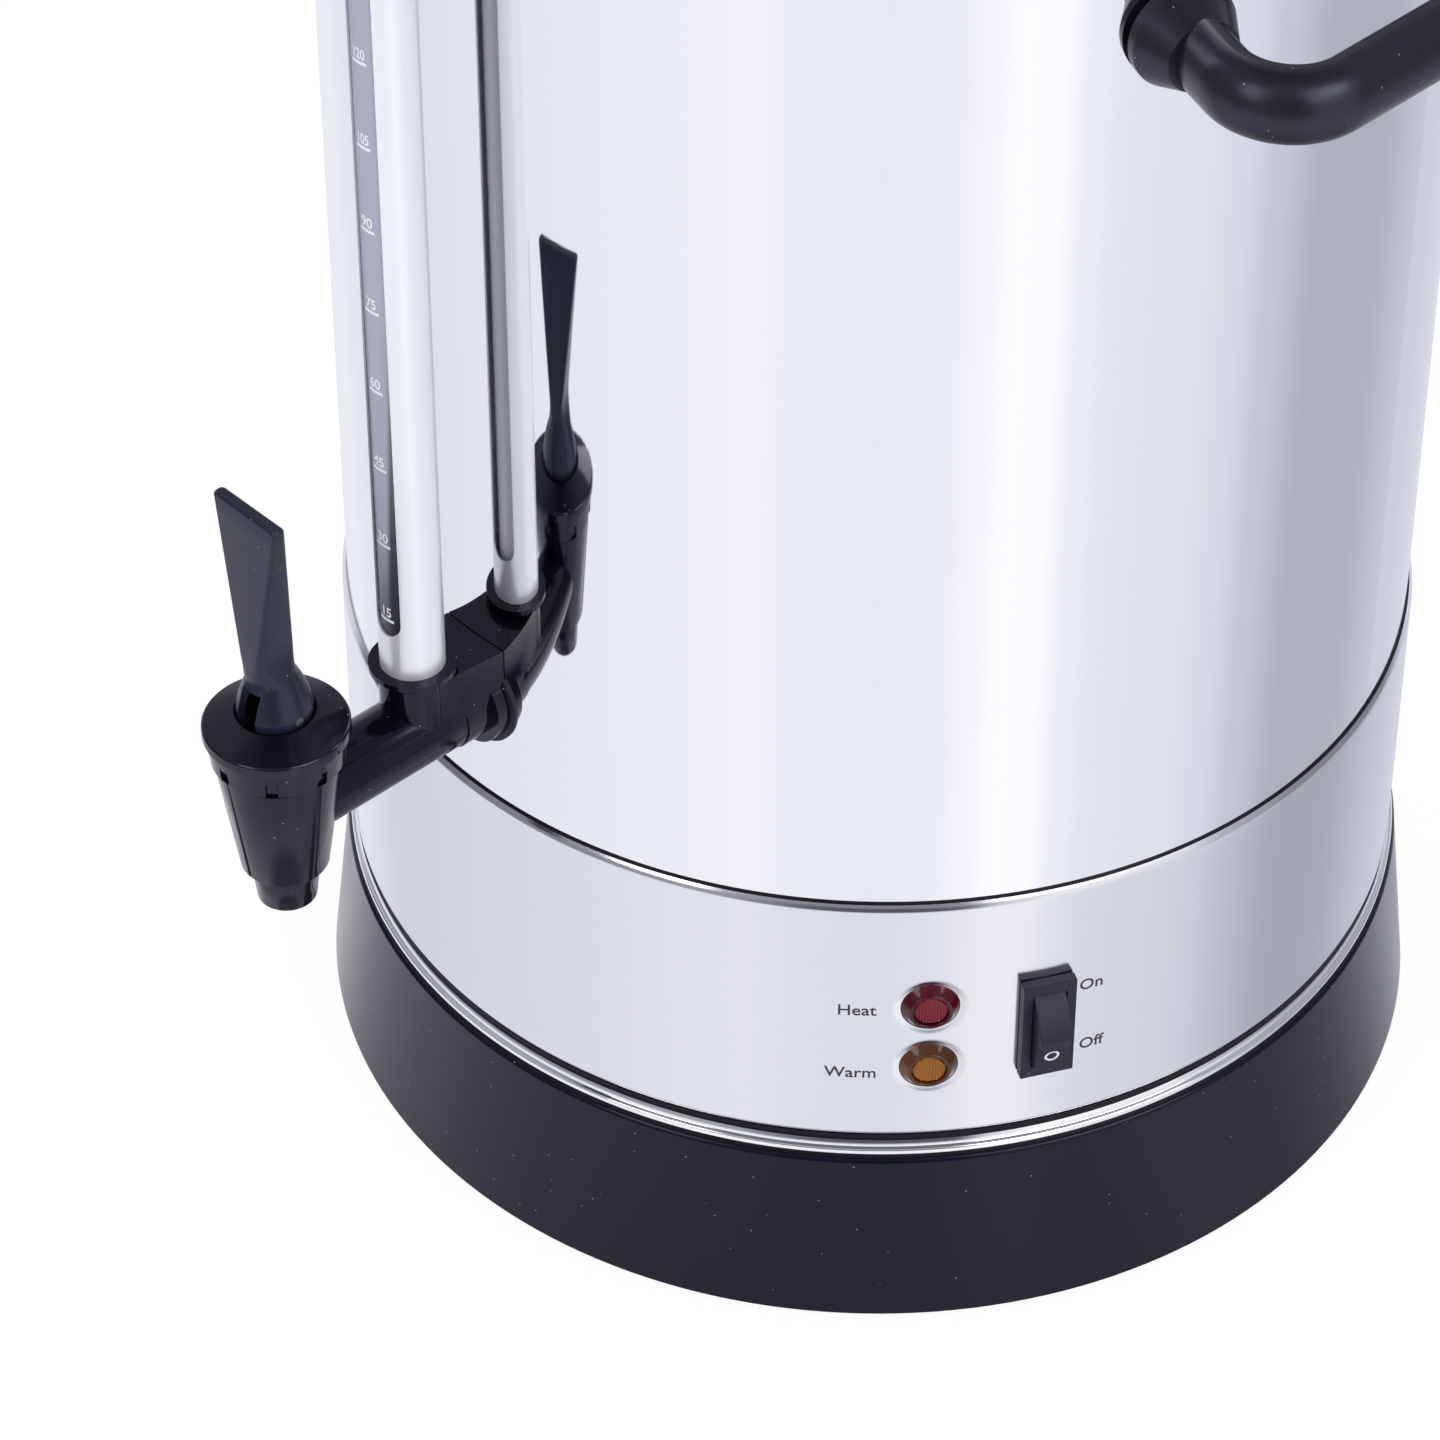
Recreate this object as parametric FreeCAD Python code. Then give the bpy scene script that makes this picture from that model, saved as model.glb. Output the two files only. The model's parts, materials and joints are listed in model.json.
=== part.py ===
import FreeCAD, Part
import math
import os

# Catering hot water urn, 15 litres: steel tank on a moulded base, lever tap with a slotted sight gauge.
# Millimetres. +Z up, origin on the floor under the tank's axis, the tap points to -Y.
# Azimuths count from the tap, anticlockwise seen from above: 0 is -Y, 90 is +X, 180 is +Y.

V = FreeCAD.Vector
UP = V(0, 0, 1)
AXIS_X = V(1, 0, 0)
TO_TANK = V(0, 1, 0)

# Tank and base
TANK_R = 141.4
WASHER = 0.6
SHEET = 0.8
TANK_IN = TANK_R - SHEET
BAND_R = 142.8
BAND_IN = 141.5
SKIRT_LOW_R = 150.5
SKIRT_TOP_R = 144.7
SKIRT_WALL = 2.5
SKIRT_TOP = 53.4
TRIM_TOP = 57.2
BAND_LOW = 60.1
BAND_TOP = 141.3
FLOOR_TOP = 159.0
RIM_Z = 449.6
RIM_TOP = RIM_Z + 2.8
PLATE_LOW = 6.0
PLATE_TOP = 7.2
BOSS_R = 138.5
ROD_R = 112.0
FOOT_PEG_R = 125.5

# Controls
LAMP_AZ = 51.2
RED_Z = 105.45
AMBER_Z = 84.85
SWITCH_AZ = 63.24
SWITCH_Z = 95.4
ROCKER_TILT = 8.0
GLAND_AZ = 180.0
GLAND_Z = 28.0
GLAND_FACE_R = 149.4
CORD_R = 3.9

# Tap and sight gauge, drawn this much above their place
TAP_DROP = 4.0
TAP_Y = -205.0
ARM_Z = 176.4
GAUGE_Y = -161.6
PIVOT_Z = 209.5
SEAM_Z = 193.4
PARTITION_LOW = 199.7
PARTITION_TOP = 203.2
SEAT_Z = 161.0
STEM_R = 2.5
STEM_BORE = 2.58
PIN_R = 1.25
PIN_BORE = 1.3
GAUGE_TUBE_R = 8.2
GLASS_R = 5.9
SLOT_W = 7.8
SLOT_LOW = 210.8
SLOT_TOP = 436.0
GAUGE_TOP = 449.0
LEVER_LEAN = 3.3
LEVER_TOP = 271.7

# Handles and lid
HANDLE_Z = 392.0
HANDLE_STEP = 18.6
LID_TOP = RIM_TOP + 19.0


def flat(points):
    """Face in the XZ plane from (radius, height) points; a third value marks an arc's middle point."""
    edges = []
    here = points[0]
    via = None
    for point in points[1:] + [points[0]]:
        if len(point) == 3:
            via = point
            continue
        start = V(here[0], 0, here[1])
        end = V(point[0], 0, point[1])
        if via:
            edges.append(Part.Arc(start, V(via[0], 0, via[1]), end).toShape())
        else:
            edges.append(Part.makeLine(start, end))
        here = point
        via = None
    return Part.Face(Part.Wire(edges))


def turned(points, y=0.0, angle=360.0):
    """Solid turned from a profile about a vertical axis at (0, y)."""
    solid = flat(points).revolve(V(0, 0, 0), UP, angle)
    solid.translate(V(0, y, 0))
    return solid


def outward(shape, azimuth, radius, height):
    """Place a shape drawn with Z outward, X to the right and Y up on the tank's side."""
    a = math.radians(azimuth)
    right = V(math.cos(a), math.sin(a), 0)
    out = V(math.sin(a), -math.cos(a), 0)
    turn = FreeCAD.Rotation(right, UP, out, "ZXY")
    place = FreeCAD.Placement(out * radius + UP * height, turn)
    return shape.transformed(place.toMatrix(), copy=True)


def around(shape, count, first=0.0):
    """Copies of a shape evenly spaced about the tank's axis."""
    copies = []
    for i in range(count):
        copy = shape.copy()
        copy.rotate(V(0, 0, 0), UP, first + 360.0 * i / count)
        copies.append(copy)
    return copies


def column(radius, low, high, x=0.0, y=0.0):
    """Upright cylinder between two heights."""
    return Part.makeCylinder(radius, high - low, V(x, y, low))


def bar(radius, start, end, x=0.0, z=ARM_Z):
    """Cylinder along Y between two Y values."""
    return Part.makeCylinder(radius, end - start, V(x, start, z), TO_TANK)


def block(x0, x1, y0, y1, z0, z1):
    """Box between two corners."""
    return Part.makeBox(x1 - x0, y1 - y0, z1 - z0, V(x0, y0, z0))


def hexagon(across, low, high):
    """Hexagonal prism on the Z axis, by its width across flats."""
    r = across / math.sqrt(3)
    corners = [V(r * math.cos(math.radians(60 * i)), r * math.sin(math.radians(60 * i)), low) for i in range(7)]
    return Part.Face(Part.makePolygon(corners)).extrude(UP * (high - low))


def rounded(width, depth, corner, y, z):
    """Wire of a rounded rectangle at a height, width along X and depth along Y."""
    hw = width / 2 - corner
    hd = depth / 2 - corner
    arcs = []
    for cx, cy, turn in ((hw, -hd, 0), (hw, hd, 90), (-hw, hd, 180), (-hw, -hd, 270)):
        angles = [math.radians(turn + step) for step in (-90, -45, 0)]
        arcs.append([V(cx + corner * math.cos(t), y + cy + corner * math.sin(t), z) for t in angles])
    edges = []
    for i in range(4):
        edges.append(Part.Arc(*arcs[i]).toShape())
        edges.append(Part.makeLine(arcs[i][2], arcs[(i + 1) % 4][0]))
    return Part.Wire(edges)


def screw(head_r, head_h, shank_r, length):
    """Pan head screw: the head's underside at Z 0, the shank along +Z."""
    head = flat([(0, -head_h), (head_r * 0.6, -head_h), (head_r * 0.92, -head_h * 0.72, 1), (head_r, 0), (0, 0)])
    solid = head.revolve(V(0, 0, 0), UP, 360).fuse(column(shank_r, 0, length))
    cross = block(-head_r * 0.55, head_r * 0.55, -0.4, 0.4, -head_h, -head_h * 0.5)
    turned_cross = cross.copy()
    turned_cross.rotate(V(0, 0, 0), UP, 90)
    return solid.cut(cross.fuse(turned_cross)).removeSplitter()


# Base

def base_skirt():
    """Moulded foot of the urn: a flared shell with a top flange, screw bosses and a gland pad."""
    shell = turned([
        (SKIRT_LOW_R, 1.5), (SKIRT_TOP_R, 51.8), (144.35, 52.95, 1), (143.4, SKIRT_TOP),
        (136.0, SKIRT_TOP), (136.0, SKIRT_TOP - SKIRT_WALL), (142.2, SKIRT_TOP - SKIRT_WALL),
        (SKIRT_LOW_R - 2.6, 1.5),
    ])
    inside = turned([(0, PLATE_TOP), (148.4, PLATE_TOP), (143.4, 51.5), (0, 51.5)])
    boss = column(4.5, PLATE_TOP, 51.5, BOSS_R).fuse(block(BOSS_R, 149.0, -1.0, 1.0, PLATE_TOP + 3, 51.5))
    rib = block(141.0, 149.0, -0.9, 0.9, 30.0, 51.5)
    ribs = around(boss, 4, 45) + around(rib, 12, 15)
    for part in ribs:
        shell = shell.fuse(part.common(inside))
    pad = outward(column(12.0, 0, 6.4), GLAND_AZ, GLAND_FACE_R - 6.4, GLAND_Z)
    shell = shell.fuse(pad)
    for hole in around(column(1.5, 0, 30, BOSS_R), 4, 45):
        shell = shell.cut(hole)
    gland_hole = outward(column(7.5, -10, 10), GLAND_AZ, GLAND_FACE_R, GLAND_Z)
    return shell.cut(gland_hole).removeSplitter()


def base_plate():
    """Pressed steel bottom with vent slots and the holes for screws, rods and foot pegs."""
    plate = column(145.6, PLATE_LOW, PLATE_TOP)
    slot = block(48, 84, -2, 2, 0, 10).fuse(column(2, 0, 10, 48)).fuse(column(2, 0, 10, 84))
    holes = around(slot, 12, 15)
    holes += around(column(1.8, 0, 10, BOSS_R), 4, 45)
    holes += around(column(2.7, 0, 10, ROD_R), 3, 30)
    holes += around(column(2.1, 0, 10, FOOT_PEG_R), 6, 0)
    return plate.cut(Part.makeCompound(holes))


def rubber_foot_ring():
    """Non-slip ring under the base, held by six mushroom pegs pulled through the plate."""
    ring = turned([
        (119.5, 0.8), (120.3, 0), (130.7, 0), (131.5, 0.8), (130.6, PLATE_LOW), (120.4, PLATE_LOW),
    ])
    peg = turned([
        (0, PLATE_LOW - 1), (2.1, PLATE_LOW - 1), (2.1, PLATE_TOP), (3.1, PLATE_TOP),
        (2.9, 8.2), (1.4, 10.0), (0, 10.0),
    ])
    peg.translate(V(FOOT_PEG_R, 0, 0))
    for part in around(peg, 6, 0):
        ring = ring.fuse(part)
    return ring.removeSplitter()


def base_screws():
    """Four self-tapping screws up through the plate into the skirt's bosses."""
    one = screw(3.2, 2.2, 1.5, 17.0)
    one.translate(V(BOSS_R, 0, PLATE_LOW))
    return Part.makeCompound(around(one, 4, 45))


def trim_ring():
    """Polished ring between the skirt and the steel band, a formed channel."""
    return turned([
        (144.0, SKIRT_TOP), (144.2, 54.0, 1), (144.0, 54.6), (143.2, 55.0), (142.95, 55.5), (142.95, 57.4),
        (142.65, 58.5, 1), (141.9, 59.1), (BAND_IN, 59.1), (BAND_IN, TRIM_TOP), (136.5, TRIM_TOP),
        (136.5, TRIM_TOP - 1.0), (141.3, TRIM_TOP - 1.0), (142.6, 54.6), (142.9, SKIRT_TOP),
    ])


def tie_rods():
    """Three studs welded under the tank floor that pull the body down on the base."""
    return Part.makeCompound(around(column(2.5, 1.6, FLOOR_TOP - 1.0, ROD_R), 3, 30))


def tie_rod_nuts():
    """Flanged nuts on the studs, under the base plate."""
    flange = column(5.4, PLATE_LOW - 1.0, PLATE_LOW)
    nut = hexagon(8.0, 2.0, PLATE_LOW - 1.0).fuse(flange).cut(column(2.5, 0, 10))
    nut.translate(V(ROD_R, 0, 0))
    return Part.makeCompound(around(nut, 3, 30))


# Tank

def dimple_cut(height):
    """Conical recess and round hole of one lamp in the band."""
    cone = Part.makeCone(7.6, 10.6, 2.0, V(0, 0, -1.0), UP)
    return outward(cone.fuse(column(7.6, -8, 0)), LAMP_AZ, BAND_R, height)


def dimple_pad(height):
    """Sheet pressed inward round a lamp, before the recess is cut."""
    cone = Part.makeCone(8.7, 12.75, 2.7, V(0, 0, -1.9), UP)
    inside = column(BAND_R, height - 15, height + 15)
    return outward(cone, LAMP_AZ, BAND_R, height).common(inside)


def control_band():
    """Steel band with rolled edges that carries the lamps and the switch."""
    band = turned([
        (BAND_IN, BAND_LOW), (141.75, BAND_LOW), (142.5, BAND_LOW + 0.65, 1), (BAND_R, BAND_LOW + 2.0),
        (BAND_R, BAND_TOP - 2.7), (142.45, BAND_TOP - 0.8, 1), (141.75, BAND_TOP), (BAND_IN, BAND_TOP),
    ])
    for height in (RED_Z, AMBER_Z):
        band = band.fuse(dimple_pad(height))
    for height in (RED_Z, AMBER_Z):
        band = band.cut(dimple_cut(height))
    window = outward(block(-6.4, 6.4, -14.9, 14.9, -8, 4), SWITCH_AZ, BAND_R, SWITCH_Z)
    return band.cut(window).removeSplitter()


def tank_wall():
    """Steel cylinder with a rolled top rim and the openings for tap, lamps, switch and fixings."""
    outer = RIM_Z
    c = TANK_IN + 2.8
    wall = turned([
        (TANK_IN, TRIM_TOP), (TANK_R, TRIM_TOP), (TANK_R, outer), (c, outer + 2.0, 1), (c + 2.0, outer),
        (c + 1.414, outer - 1.414, 1), (c, outer - 2.0), (c, outer - 2.8), (c + 1.98, outer - 1.98, 1),
        (c + 2.8, outer), (c, outer + 2.8, 1), (TANK_IN, outer),
    ])
    cuts = [outward(column(9.8, -8, 8), LAMP_AZ, TANK_R, h) for h in (RED_Z, AMBER_Z)]
    cuts.append(outward(block(-6.6, 6.6, -15.1, 15.1, -8, 8), SWITCH_AZ, TANK_R, SWITCH_Z))
    cuts.append(outward(column(8.2, -8, 8), 0, TANK_R, ARM_Z - TAP_DROP))
    cuts.append(outward(column(2.2, -8, 8), 0, TANK_R, 441.0 - TAP_DROP))
    for azimuth in handle_azimuths():
        cuts.append(outward(column(2.7, -8, 8), azimuth, TANK_R, HANDLE_Z))
    return wall.cut(Part.makeCompound(cuts))


def tank_floor():
    """Pressed dish welded into the tank, its edge turned down."""
    return turned([
        (TANK_IN, 146.0), (TANK_IN, 153.5), (138.99, 157.39, 1), (135.1, FLOOR_TOP), (0, FLOOR_TOP),
        (0, FLOOR_TOP - 1.0), (135.1, FLOOR_TOP - 1.0), (138.28, 156.68, 1), (TANK_IN - 1.0, 153.5),
        (TANK_IN - 1.0, 146.0),
    ])


# Heating and wiring

def heat_plate():
    """Aluminium plate that spreads the heat, with threaded holes for the sensors."""
    plate = turned([(0, 153.0), (94.0, 153.0), (95.0, 154.0), (95.0, 158.0), (0, 158.0)])
    holes = [column(1.25, 150, 156.5, x, y) for x, y in sensor_screw_places()]
    return plate.cut(Part.makeCompound(holes))


def ring_element(ring_r, tube_r, gap, drop):
    """Sheathed element: an open ring flattened against the plate, its ends turned down to cold pins."""
    z = 153.0 - tube_r * 0.93
    circle = Part.Wire([Part.makeCircle(tube_r, V(ring_r, 0, z), V(0, 1, 0))])
    ring = Part.Face(circle).revolve(V(0, 0, 0), UP, 360 - gap)
    bend = tube_r * 2.4
    end = Part.Face(circle).revolve(V(ring_r, 0, z - bend), AXIS_X, 90)
    down = column(tube_r, z - bend - drop, z - bend, ring_r, -bend)
    pin = column(1.4, z - bend - drop - 9, z - bend - drop, ring_r, -bend)
    first = end.fuse(down).fuse(pin)
    last = first.mirror(V(0, 0, 0), V(0, 1, 0))
    last.rotate(V(0, 0, 0), UP, 360 - gap)
    both = ring.fuse(first).fuse(last)
    above = column(ring_r + 20, 153.0, 160.0)
    both = both.cut(above).removeSplitter()
    both.rotate(V(0, 0, 0), UP, 90 + gap / 2)
    return both


def heating_element():
    """Boiling element, the larger ring."""
    return ring_element(70.0, 4.2, 26.0, 8.0)


def keep_warm_element():
    """Low power ring that holds the temperature."""
    return ring_element(42.0, 3.25, 40.0, 8.0)


def sensor_screw_places():
    """Where the sensors' screws enter the heat plate."""
    places = []
    for x, y in ((0.0, 14.0), (0.0, -14.0)):
        places += [(x - 12.2, y), (x + 12.2, y)]
    return places


def disc_sensor(y, button):
    """Snap-disc sensor: metal cap, ceramic body, fixing strap and two flat tabs."""
    body = turned([
        (0, 143.0), (7.0, 143.0), (7.8, 143.8), (7.8, 149.6), (8.3, 149.6), (8.3, 152.5), (7.8, 153.0), (0, 153.0),
    ])
    strap = block(-12.2, 12.2, -3.6, 3.6, 150.2, 151.0)
    for x in (-12.2, 12.2):
        strap = strap.fuse(column(3.6, 150.2, 151.0, x))
    for x in (-12.2, 12.2):
        strap = strap.cut(column(1.6, 149, 152, x))
    body = body.fuse(strap)
    for x in (-4.2, 4.2):
        body = body.fuse(block(x - 0.4, x + 0.4, -3.2, 3.2, 135.0, 143.5))
    if button:
        body = body.fuse(column(2.2, 141.4, 143.5))
    body.translate(V(0, y, 0))
    return body.removeSplitter()


def thermostat():
    """Control thermostat on the heat plate."""
    return disc_sensor(14.0, False)


def thermal_cutout():
    """Boil-dry cut-out with a reset button."""
    return disc_sensor(-14.0, True)


def sensor_screws():
    """Four small screws that hold the two sensors."""
    screws = []
    for x, y in sensor_screw_places():
        one = screw(2.6, 1.8, 1.25, 6.0)
        one.translate(V(x, y, 150.2))
        screws.append(one)
    return Part.makeCompound(screws)


def terminal_block():
    """Three-pole ceramic terminal block on the base plate, in front of the gland."""
    body = block(-21, 21, 88, 106, PLATE_TOP, 23)
    body = body.makeChamfer(1.0, [e for e in body.Edges if e.BoundBox.ZLength < 0.1 and e.BoundBox.ZMin > 20])
    for x in (-13.5, 0, 13.5):
        body = body.cut(bar(2.4, 80, 110, x, 13.5))
        for y in (92.5, 101.5):
            body = body.cut(column(2.2, 13.5, 24, x, y))
    for x in (-6.75, 6.75):
        body = body.cut(block(x - 0.6, x + 0.6, 80, 110, 17.5, 24))
    return body


def terminal_screws():
    """Six clamp screws of the terminal block."""
    screws = []
    for x in (-13.5, 0, 13.5):
        for y in (92.5, 101.5):
            one = column(2.2, 15.8, 20.5, x, y).cut(block(x - 3, x + 3, y - 0.35, y + 0.35, 19.6, 21))
            screws.append(one)
    return Part.makeCompound(screws)


def cord_gland():
    """Cable gland in the rear of the skirt: threaded neck, flange and domed collar."""
    solid = flat([
        (CORD_R, -13.0), (7.4, -13.0), (7.4, 0), (10.6, 0), (10.6, 2.2), (9.4, 3.0), (9.2, 7.5),
        (8.4, 9.9, 1), (6.6, 10.8), (CORD_R, 10.8),
    ]).revolve(V(0, 0, 0), UP, 360)
    for i in range(8):
        flute = column(1.1, 3.4, 14.0, 9.9)
        flute.rotate(V(0, 0, 0), UP, 45 * i)
        solid = solid.cut(flute)
    return outward(solid, GLAND_AZ, GLAND_FACE_R, GLAND_Z)


def gland_nut():
    """Thin nut that pulls the gland against the skirt from inside."""
    nut = hexagon(19.0, -11.4, -6.4).cut(column(7.4, -20, 0))
    return outward(nut, GLAND_AZ, GLAND_FACE_R, GLAND_Z)


# Lamps and switch

def lens(height):
    """Pilot lamp lens: a blunt cone that stands out of the recess, with a sunk pyramid centre."""
    cone = flat([
        (8.0, -4.1), (8.0, -2.0), (7.45, -2.0), (7.45, -0.45), (7.15, -0.1), (6.25, 1.75), (6.0, 1.95),
        (4.85, 1.95), (4.55, 1.6), (4.5, 0.9), (4.1, 0.9), (4.0, 1.3), (0, 1.3), (0, -5.6), (5.9, -5.6),
        (6.2, -4.1),
    ]).revolve(V(0, 0, 0), UP, 360)
    return outward(cone, LAMP_AZ, BAND_R, height)


def red_lamp_lens():
    """Upper lamp, lit while heating."""
    return lens(RED_Z)


def amber_lamp_lens():
    """Lower lamp, lit while keeping warm."""
    return lens(AMBER_Z)


def lamp_body(height):
    """Lamp holder behind the lens with a round barrel, a clip collar and two tabs."""
    barrel = flat([
        (0, -30.0), (5.4, -30.0), (6.6, -28.6), (6.6, -13.0), (8.0, -12.0), (8.0, -4.1), (6.2, -4.1),
        (5.9, -5.6), (0, -5.6),
    ]).revolve(V(0, 0, 0), UP, 360)
    for x in (-2.6, 2.6):
        barrel = barrel.fuse(block(x - 0.4, x + 0.4, -2.4, 2.4, -37.5, -29.5))
    return outward(barrel.removeSplitter(), LAMP_AZ, BAND_R, height)


def red_lamp_body():
    """Holder of the upper lamp."""
    return lamp_body(RED_Z)


def amber_lamp_body():
    """Holder of the lower lamp."""
    return lamp_body(AMBER_Z)


def switch_frame():
    """Snap-in switch housing with a bezel that stands proud of the band."""
    bezel = block(-7.1, 7.1, -15.8, 15.8, 0.15, 3.2)
    bezel = bezel.makeChamfer(0.5, [e for e in bezel.Edges if e.BoundBox.ZMin > 3.1])
    body = block(-6.2, 6.2, -14.6, 14.6, -19.0, 0.2)
    frame = bezel.fuse(body)
    frame = frame.cut(block(-4.45, 4.45, -12.25, 12.25, -12.0, 5.0))
    for y in (-1, 1):
        clip = block(-3.0, 3.0, 0, 0.9, -9.0, -2.6)
        clip.translate(V(0, 14.6 if y > 0 else -15.5, 0))
        frame = frame.fuse(clip)
    for y in (-8.0, 0.0, 8.0):
        frame = frame.fuse(block(-2.4, 2.4, y - 0.4, y + 0.4, -27.0, -18.9))
    trunnion = Part.makeCylinder(1.3, 12.0, V(-6, 0, -2.0), AXIS_X)
    frame = frame.cut(trunnion)
    return outward(frame.removeSplitter(), SWITCH_AZ, BAND_R, SWITCH_Z)


def switch_rocker():
    """Ridged rocker on two trunnions, its upper end pressed in."""
    shape = Part.makePolygon([
        V(-4.3, -12.0, -3.4), V(-4.3, -11.4, 4.3), V(-4.3, -5.7, 6.0), V(-4.3, -0.3, 9.6), V(-4.3, 0.6, 9.7),
        V(-4.3, 6.0, 7.6), V(-4.3, 11.4, 4.3), V(-4.3, 12.0, -3.4),
        V(-4.3, 8.0, -5.0), V(-4.3, -8.0, -5.0), V(-4.3, -12.0, -3.4),
    ])
    rocker = Part.Face(shape).extrude(V(8.6, 0, 0))
    rocker = rocker.fuse(Part.makeCylinder(1.25, 11.8, V(-5.9, 0, -2.0), AXIS_X))
    rocker.rotate(V(0, 0, -2.0), AXIS_X, -ROCKER_TILT)
    return outward(rocker.removeSplitter(), SWITCH_AZ, BAND_R, SWITCH_Z)


# Tap

def body_cone():
    """Outer cone of the tap body, the surface that the arm's tube meets."""
    return turned([(0, 159.8), (11.05, 159.8), (16.0, SEAM_Z - 0.2), (0, SEAM_Z - 0.2)], TAP_Y)


def tap_arm():
    """Moulded arm: flange and shank in the tank, gauge socket in the middle, tube to the tap body."""
    arm = bar(9.9, TAP_Y + 5.0, -149.0).cut(body_cone())
    arm = arm.fuse(bar(7.4, TAP_Y + 10.0, TAP_Y + 16.0)).fuse(bar(10.3, -152.8, -145.0))
    arm = arm.fuse(turned([
        (0, ARM_Z), (8.7, ARM_Z), (8.7, 194.4), (11.1, 196.8), (11.1, 198.0), (10.9, 198.2), (0, 198.2),
    ], GAUGE_Y))
    seat = block(-10.6, 10.6, GAUGE_Y + 1.0, -136.0, ARM_Z, 195.2).fuse(bar(14.2, -146.2, -136.0))
    arm = arm.fuse(seat.cut(column(TANK_R + WASHER, 150, 200))).fuse(bar(8.0, -144.0, -118.0))
    arm = arm.cut(bar(5.5, TAP_Y, -110.0))
    arm = arm.cut(column(4.0, ARM_Z, 190.0, 0, GAUGE_Y))
    arm = arm.cut(column(10.2, 197.3, 200.0, 0, GAUGE_Y))
    return arm.cut(column(8.25, 184.0, 200.0, 0, GAUGE_Y)).removeSplitter()


def tap_outer_washer():
    """Rubber washer between the arm's flange and the tank."""
    washer = bar(14.2, -145.0, -135.0).cut(bar(8.05, -150.0, -130.0))
    return washer.common(column(TANK_R + WASHER, 150, 200)).cut(column(TANK_R, 150, 200))


def tap_inner_washer():
    """Rubber washer inside the tank."""
    washer = bar(13.2, -140.6, -136.4).cut(bar(8.05, -150.0, -130.0))
    return washer.common(column(TANK_IN, 150, 200))


def shank_nut():
    """Flanged hexagon nut that clamps the arm from inside the tank."""
    nut = hexagon(22.0, 4.0, 12.0).fuse(column(13.2, 0, 1.6)).fuse(column(12.4, 1.6, 4.0)).cut(column(8.0, -1, 20))
    nut.rotate(V(0, 0, 0), AXIS_X, -90)
    nut.translate(V(0, -136.4, ARM_Z))
    return nut


def tap_body():
    """Conical valve body with its seat, nozzle, grooves and snap sleeve."""
    body = turned([
        (5.9, 148.0), (7.1, 148.0), (7.4, 148.3), (8.8, 159.2), (10.6, 159.2), (11.05, 159.8), (16.0, SEAM_Z - 0.2),
        (14.8, SEAM_Z - 0.2), (14.8, 198.6), (14.4, 199.0), (13.2, 199.0), (13.2, 185.0), (10.4, 185.0),
        (8.4, 161.5), (8.0, 160.2), (6.6, 160.2), (6.2, SEAT_Z), (5.0, SEAT_Z), (5.0, 159.4), (6.4, 157.8),
    ], TAP_Y)
    for i in range(4):
        groove = block(-0.6, 0.6, 15.4 - 0.4, 20, 185, 200)
        side = flat([(10.75, 158.0), (20, 158.0), (20, SEAM_Z), (15.62, SEAM_Z), (10.65, 159.7)])
        groove = side.extrude(V(0, 1.2, 0))
        groove.translate(V(0, -0.6, 0))
        low = flat([(7.0, 147.0), (20, 147.0), (20, 159.2), (8.45, 159.2), (7.05, 148.3)]).extrude(V(0, 1.2, 0))
        low.translate(V(0, -0.6, 0))
        groove = groove.fuse(low)
        groove.rotate(V(0, 0, 0), UP, 90 * i)
        groove.translate(V(0, TAP_Y, 0))
        body = body.cut(groove)
    for i in range(8):
        tab = block(14.5, 15.6, -1.2, 1.2, 195.0, 197.0)
        tab.rotate(V(0, 0, 0), UP, 45 * i)
        tab.translate(V(0, TAP_Y, 0))
        body = body.fuse(tab)
    return body.cut(bar(7.4, TAP_Y + 2, TAP_Y + 18)).removeSplitter()


def tap_cap():
    """Snap-on cap: overhanging disc, well for the lever's foot, spring partition and clamp tube."""
    cap = turned([
        (15.0, SEAM_Z), (16.3, SEAM_Z), (17.4, 201.5), (18.2, 201.5), (18.2, 203.7), (17.9, 204.35, 1), (17.2, 204.6),
        (10.6, 208.1), (10.1, 208.1), (10.1, PARTITION_TOP), (STEM_BORE, PARTITION_TOP),
        (STEM_BORE, PARTITION_LOW), (10.8, PARTITION_LOW), (10.8, 187.0), (13.0, 187.0),
        (13.0, PARTITION_LOW), (15.0, PARTITION_LOW),
    ], TAP_Y)
    for i in range(8):
        window = block(13.4, 20, -1.5, 1.5, SEAM_Z - 1, SEAM_Z + 4.5)
        window.rotate(V(0, 0, 0), UP, 45 * i)
        window.translate(V(0, TAP_Y, 0))
        cap = cap.cut(window)
    return cap


def stem_seal():
    """Rubber wiper seal clamped between body and cap."""
    return turned([
        (STEM_BORE, 184.4), (4.4, 184.4), (4.8, 185.5), (10.2, 185.5), (10.4, 185.0), (13.2, 185.0), (13.2, 187.0),
        (10.6, 187.0), (10.2, 186.5), (4.8, 186.5), (4.4, 187.6), (STEM_BORE, 187.6),
    ], TAP_Y)


def valve_stem():
    """Stem with a barbed lower end, spring collar and an eye for the lever's pin."""
    stem = turned([
        (0, 164.0), (1.9, 164.0), (2.3, 165.6), (1.7, 166.0), (1.7, 168.0), (STEM_R, 168.0), (STEM_R, 188.5),
        (5.0, 188.5), (5.0, 190.0), (STEM_R, 190.0), (STEM_R, 205.6), (3.0, 206.4), (3.0, 211.4), (2.2, 212.2),
        (0, 212.2),
    ], TAP_Y)
    return stem.cut(Part.makeCylinder(PIN_R, 12, V(-6, TAP_Y, PIVOT_Z), AXIS_X))


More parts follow.
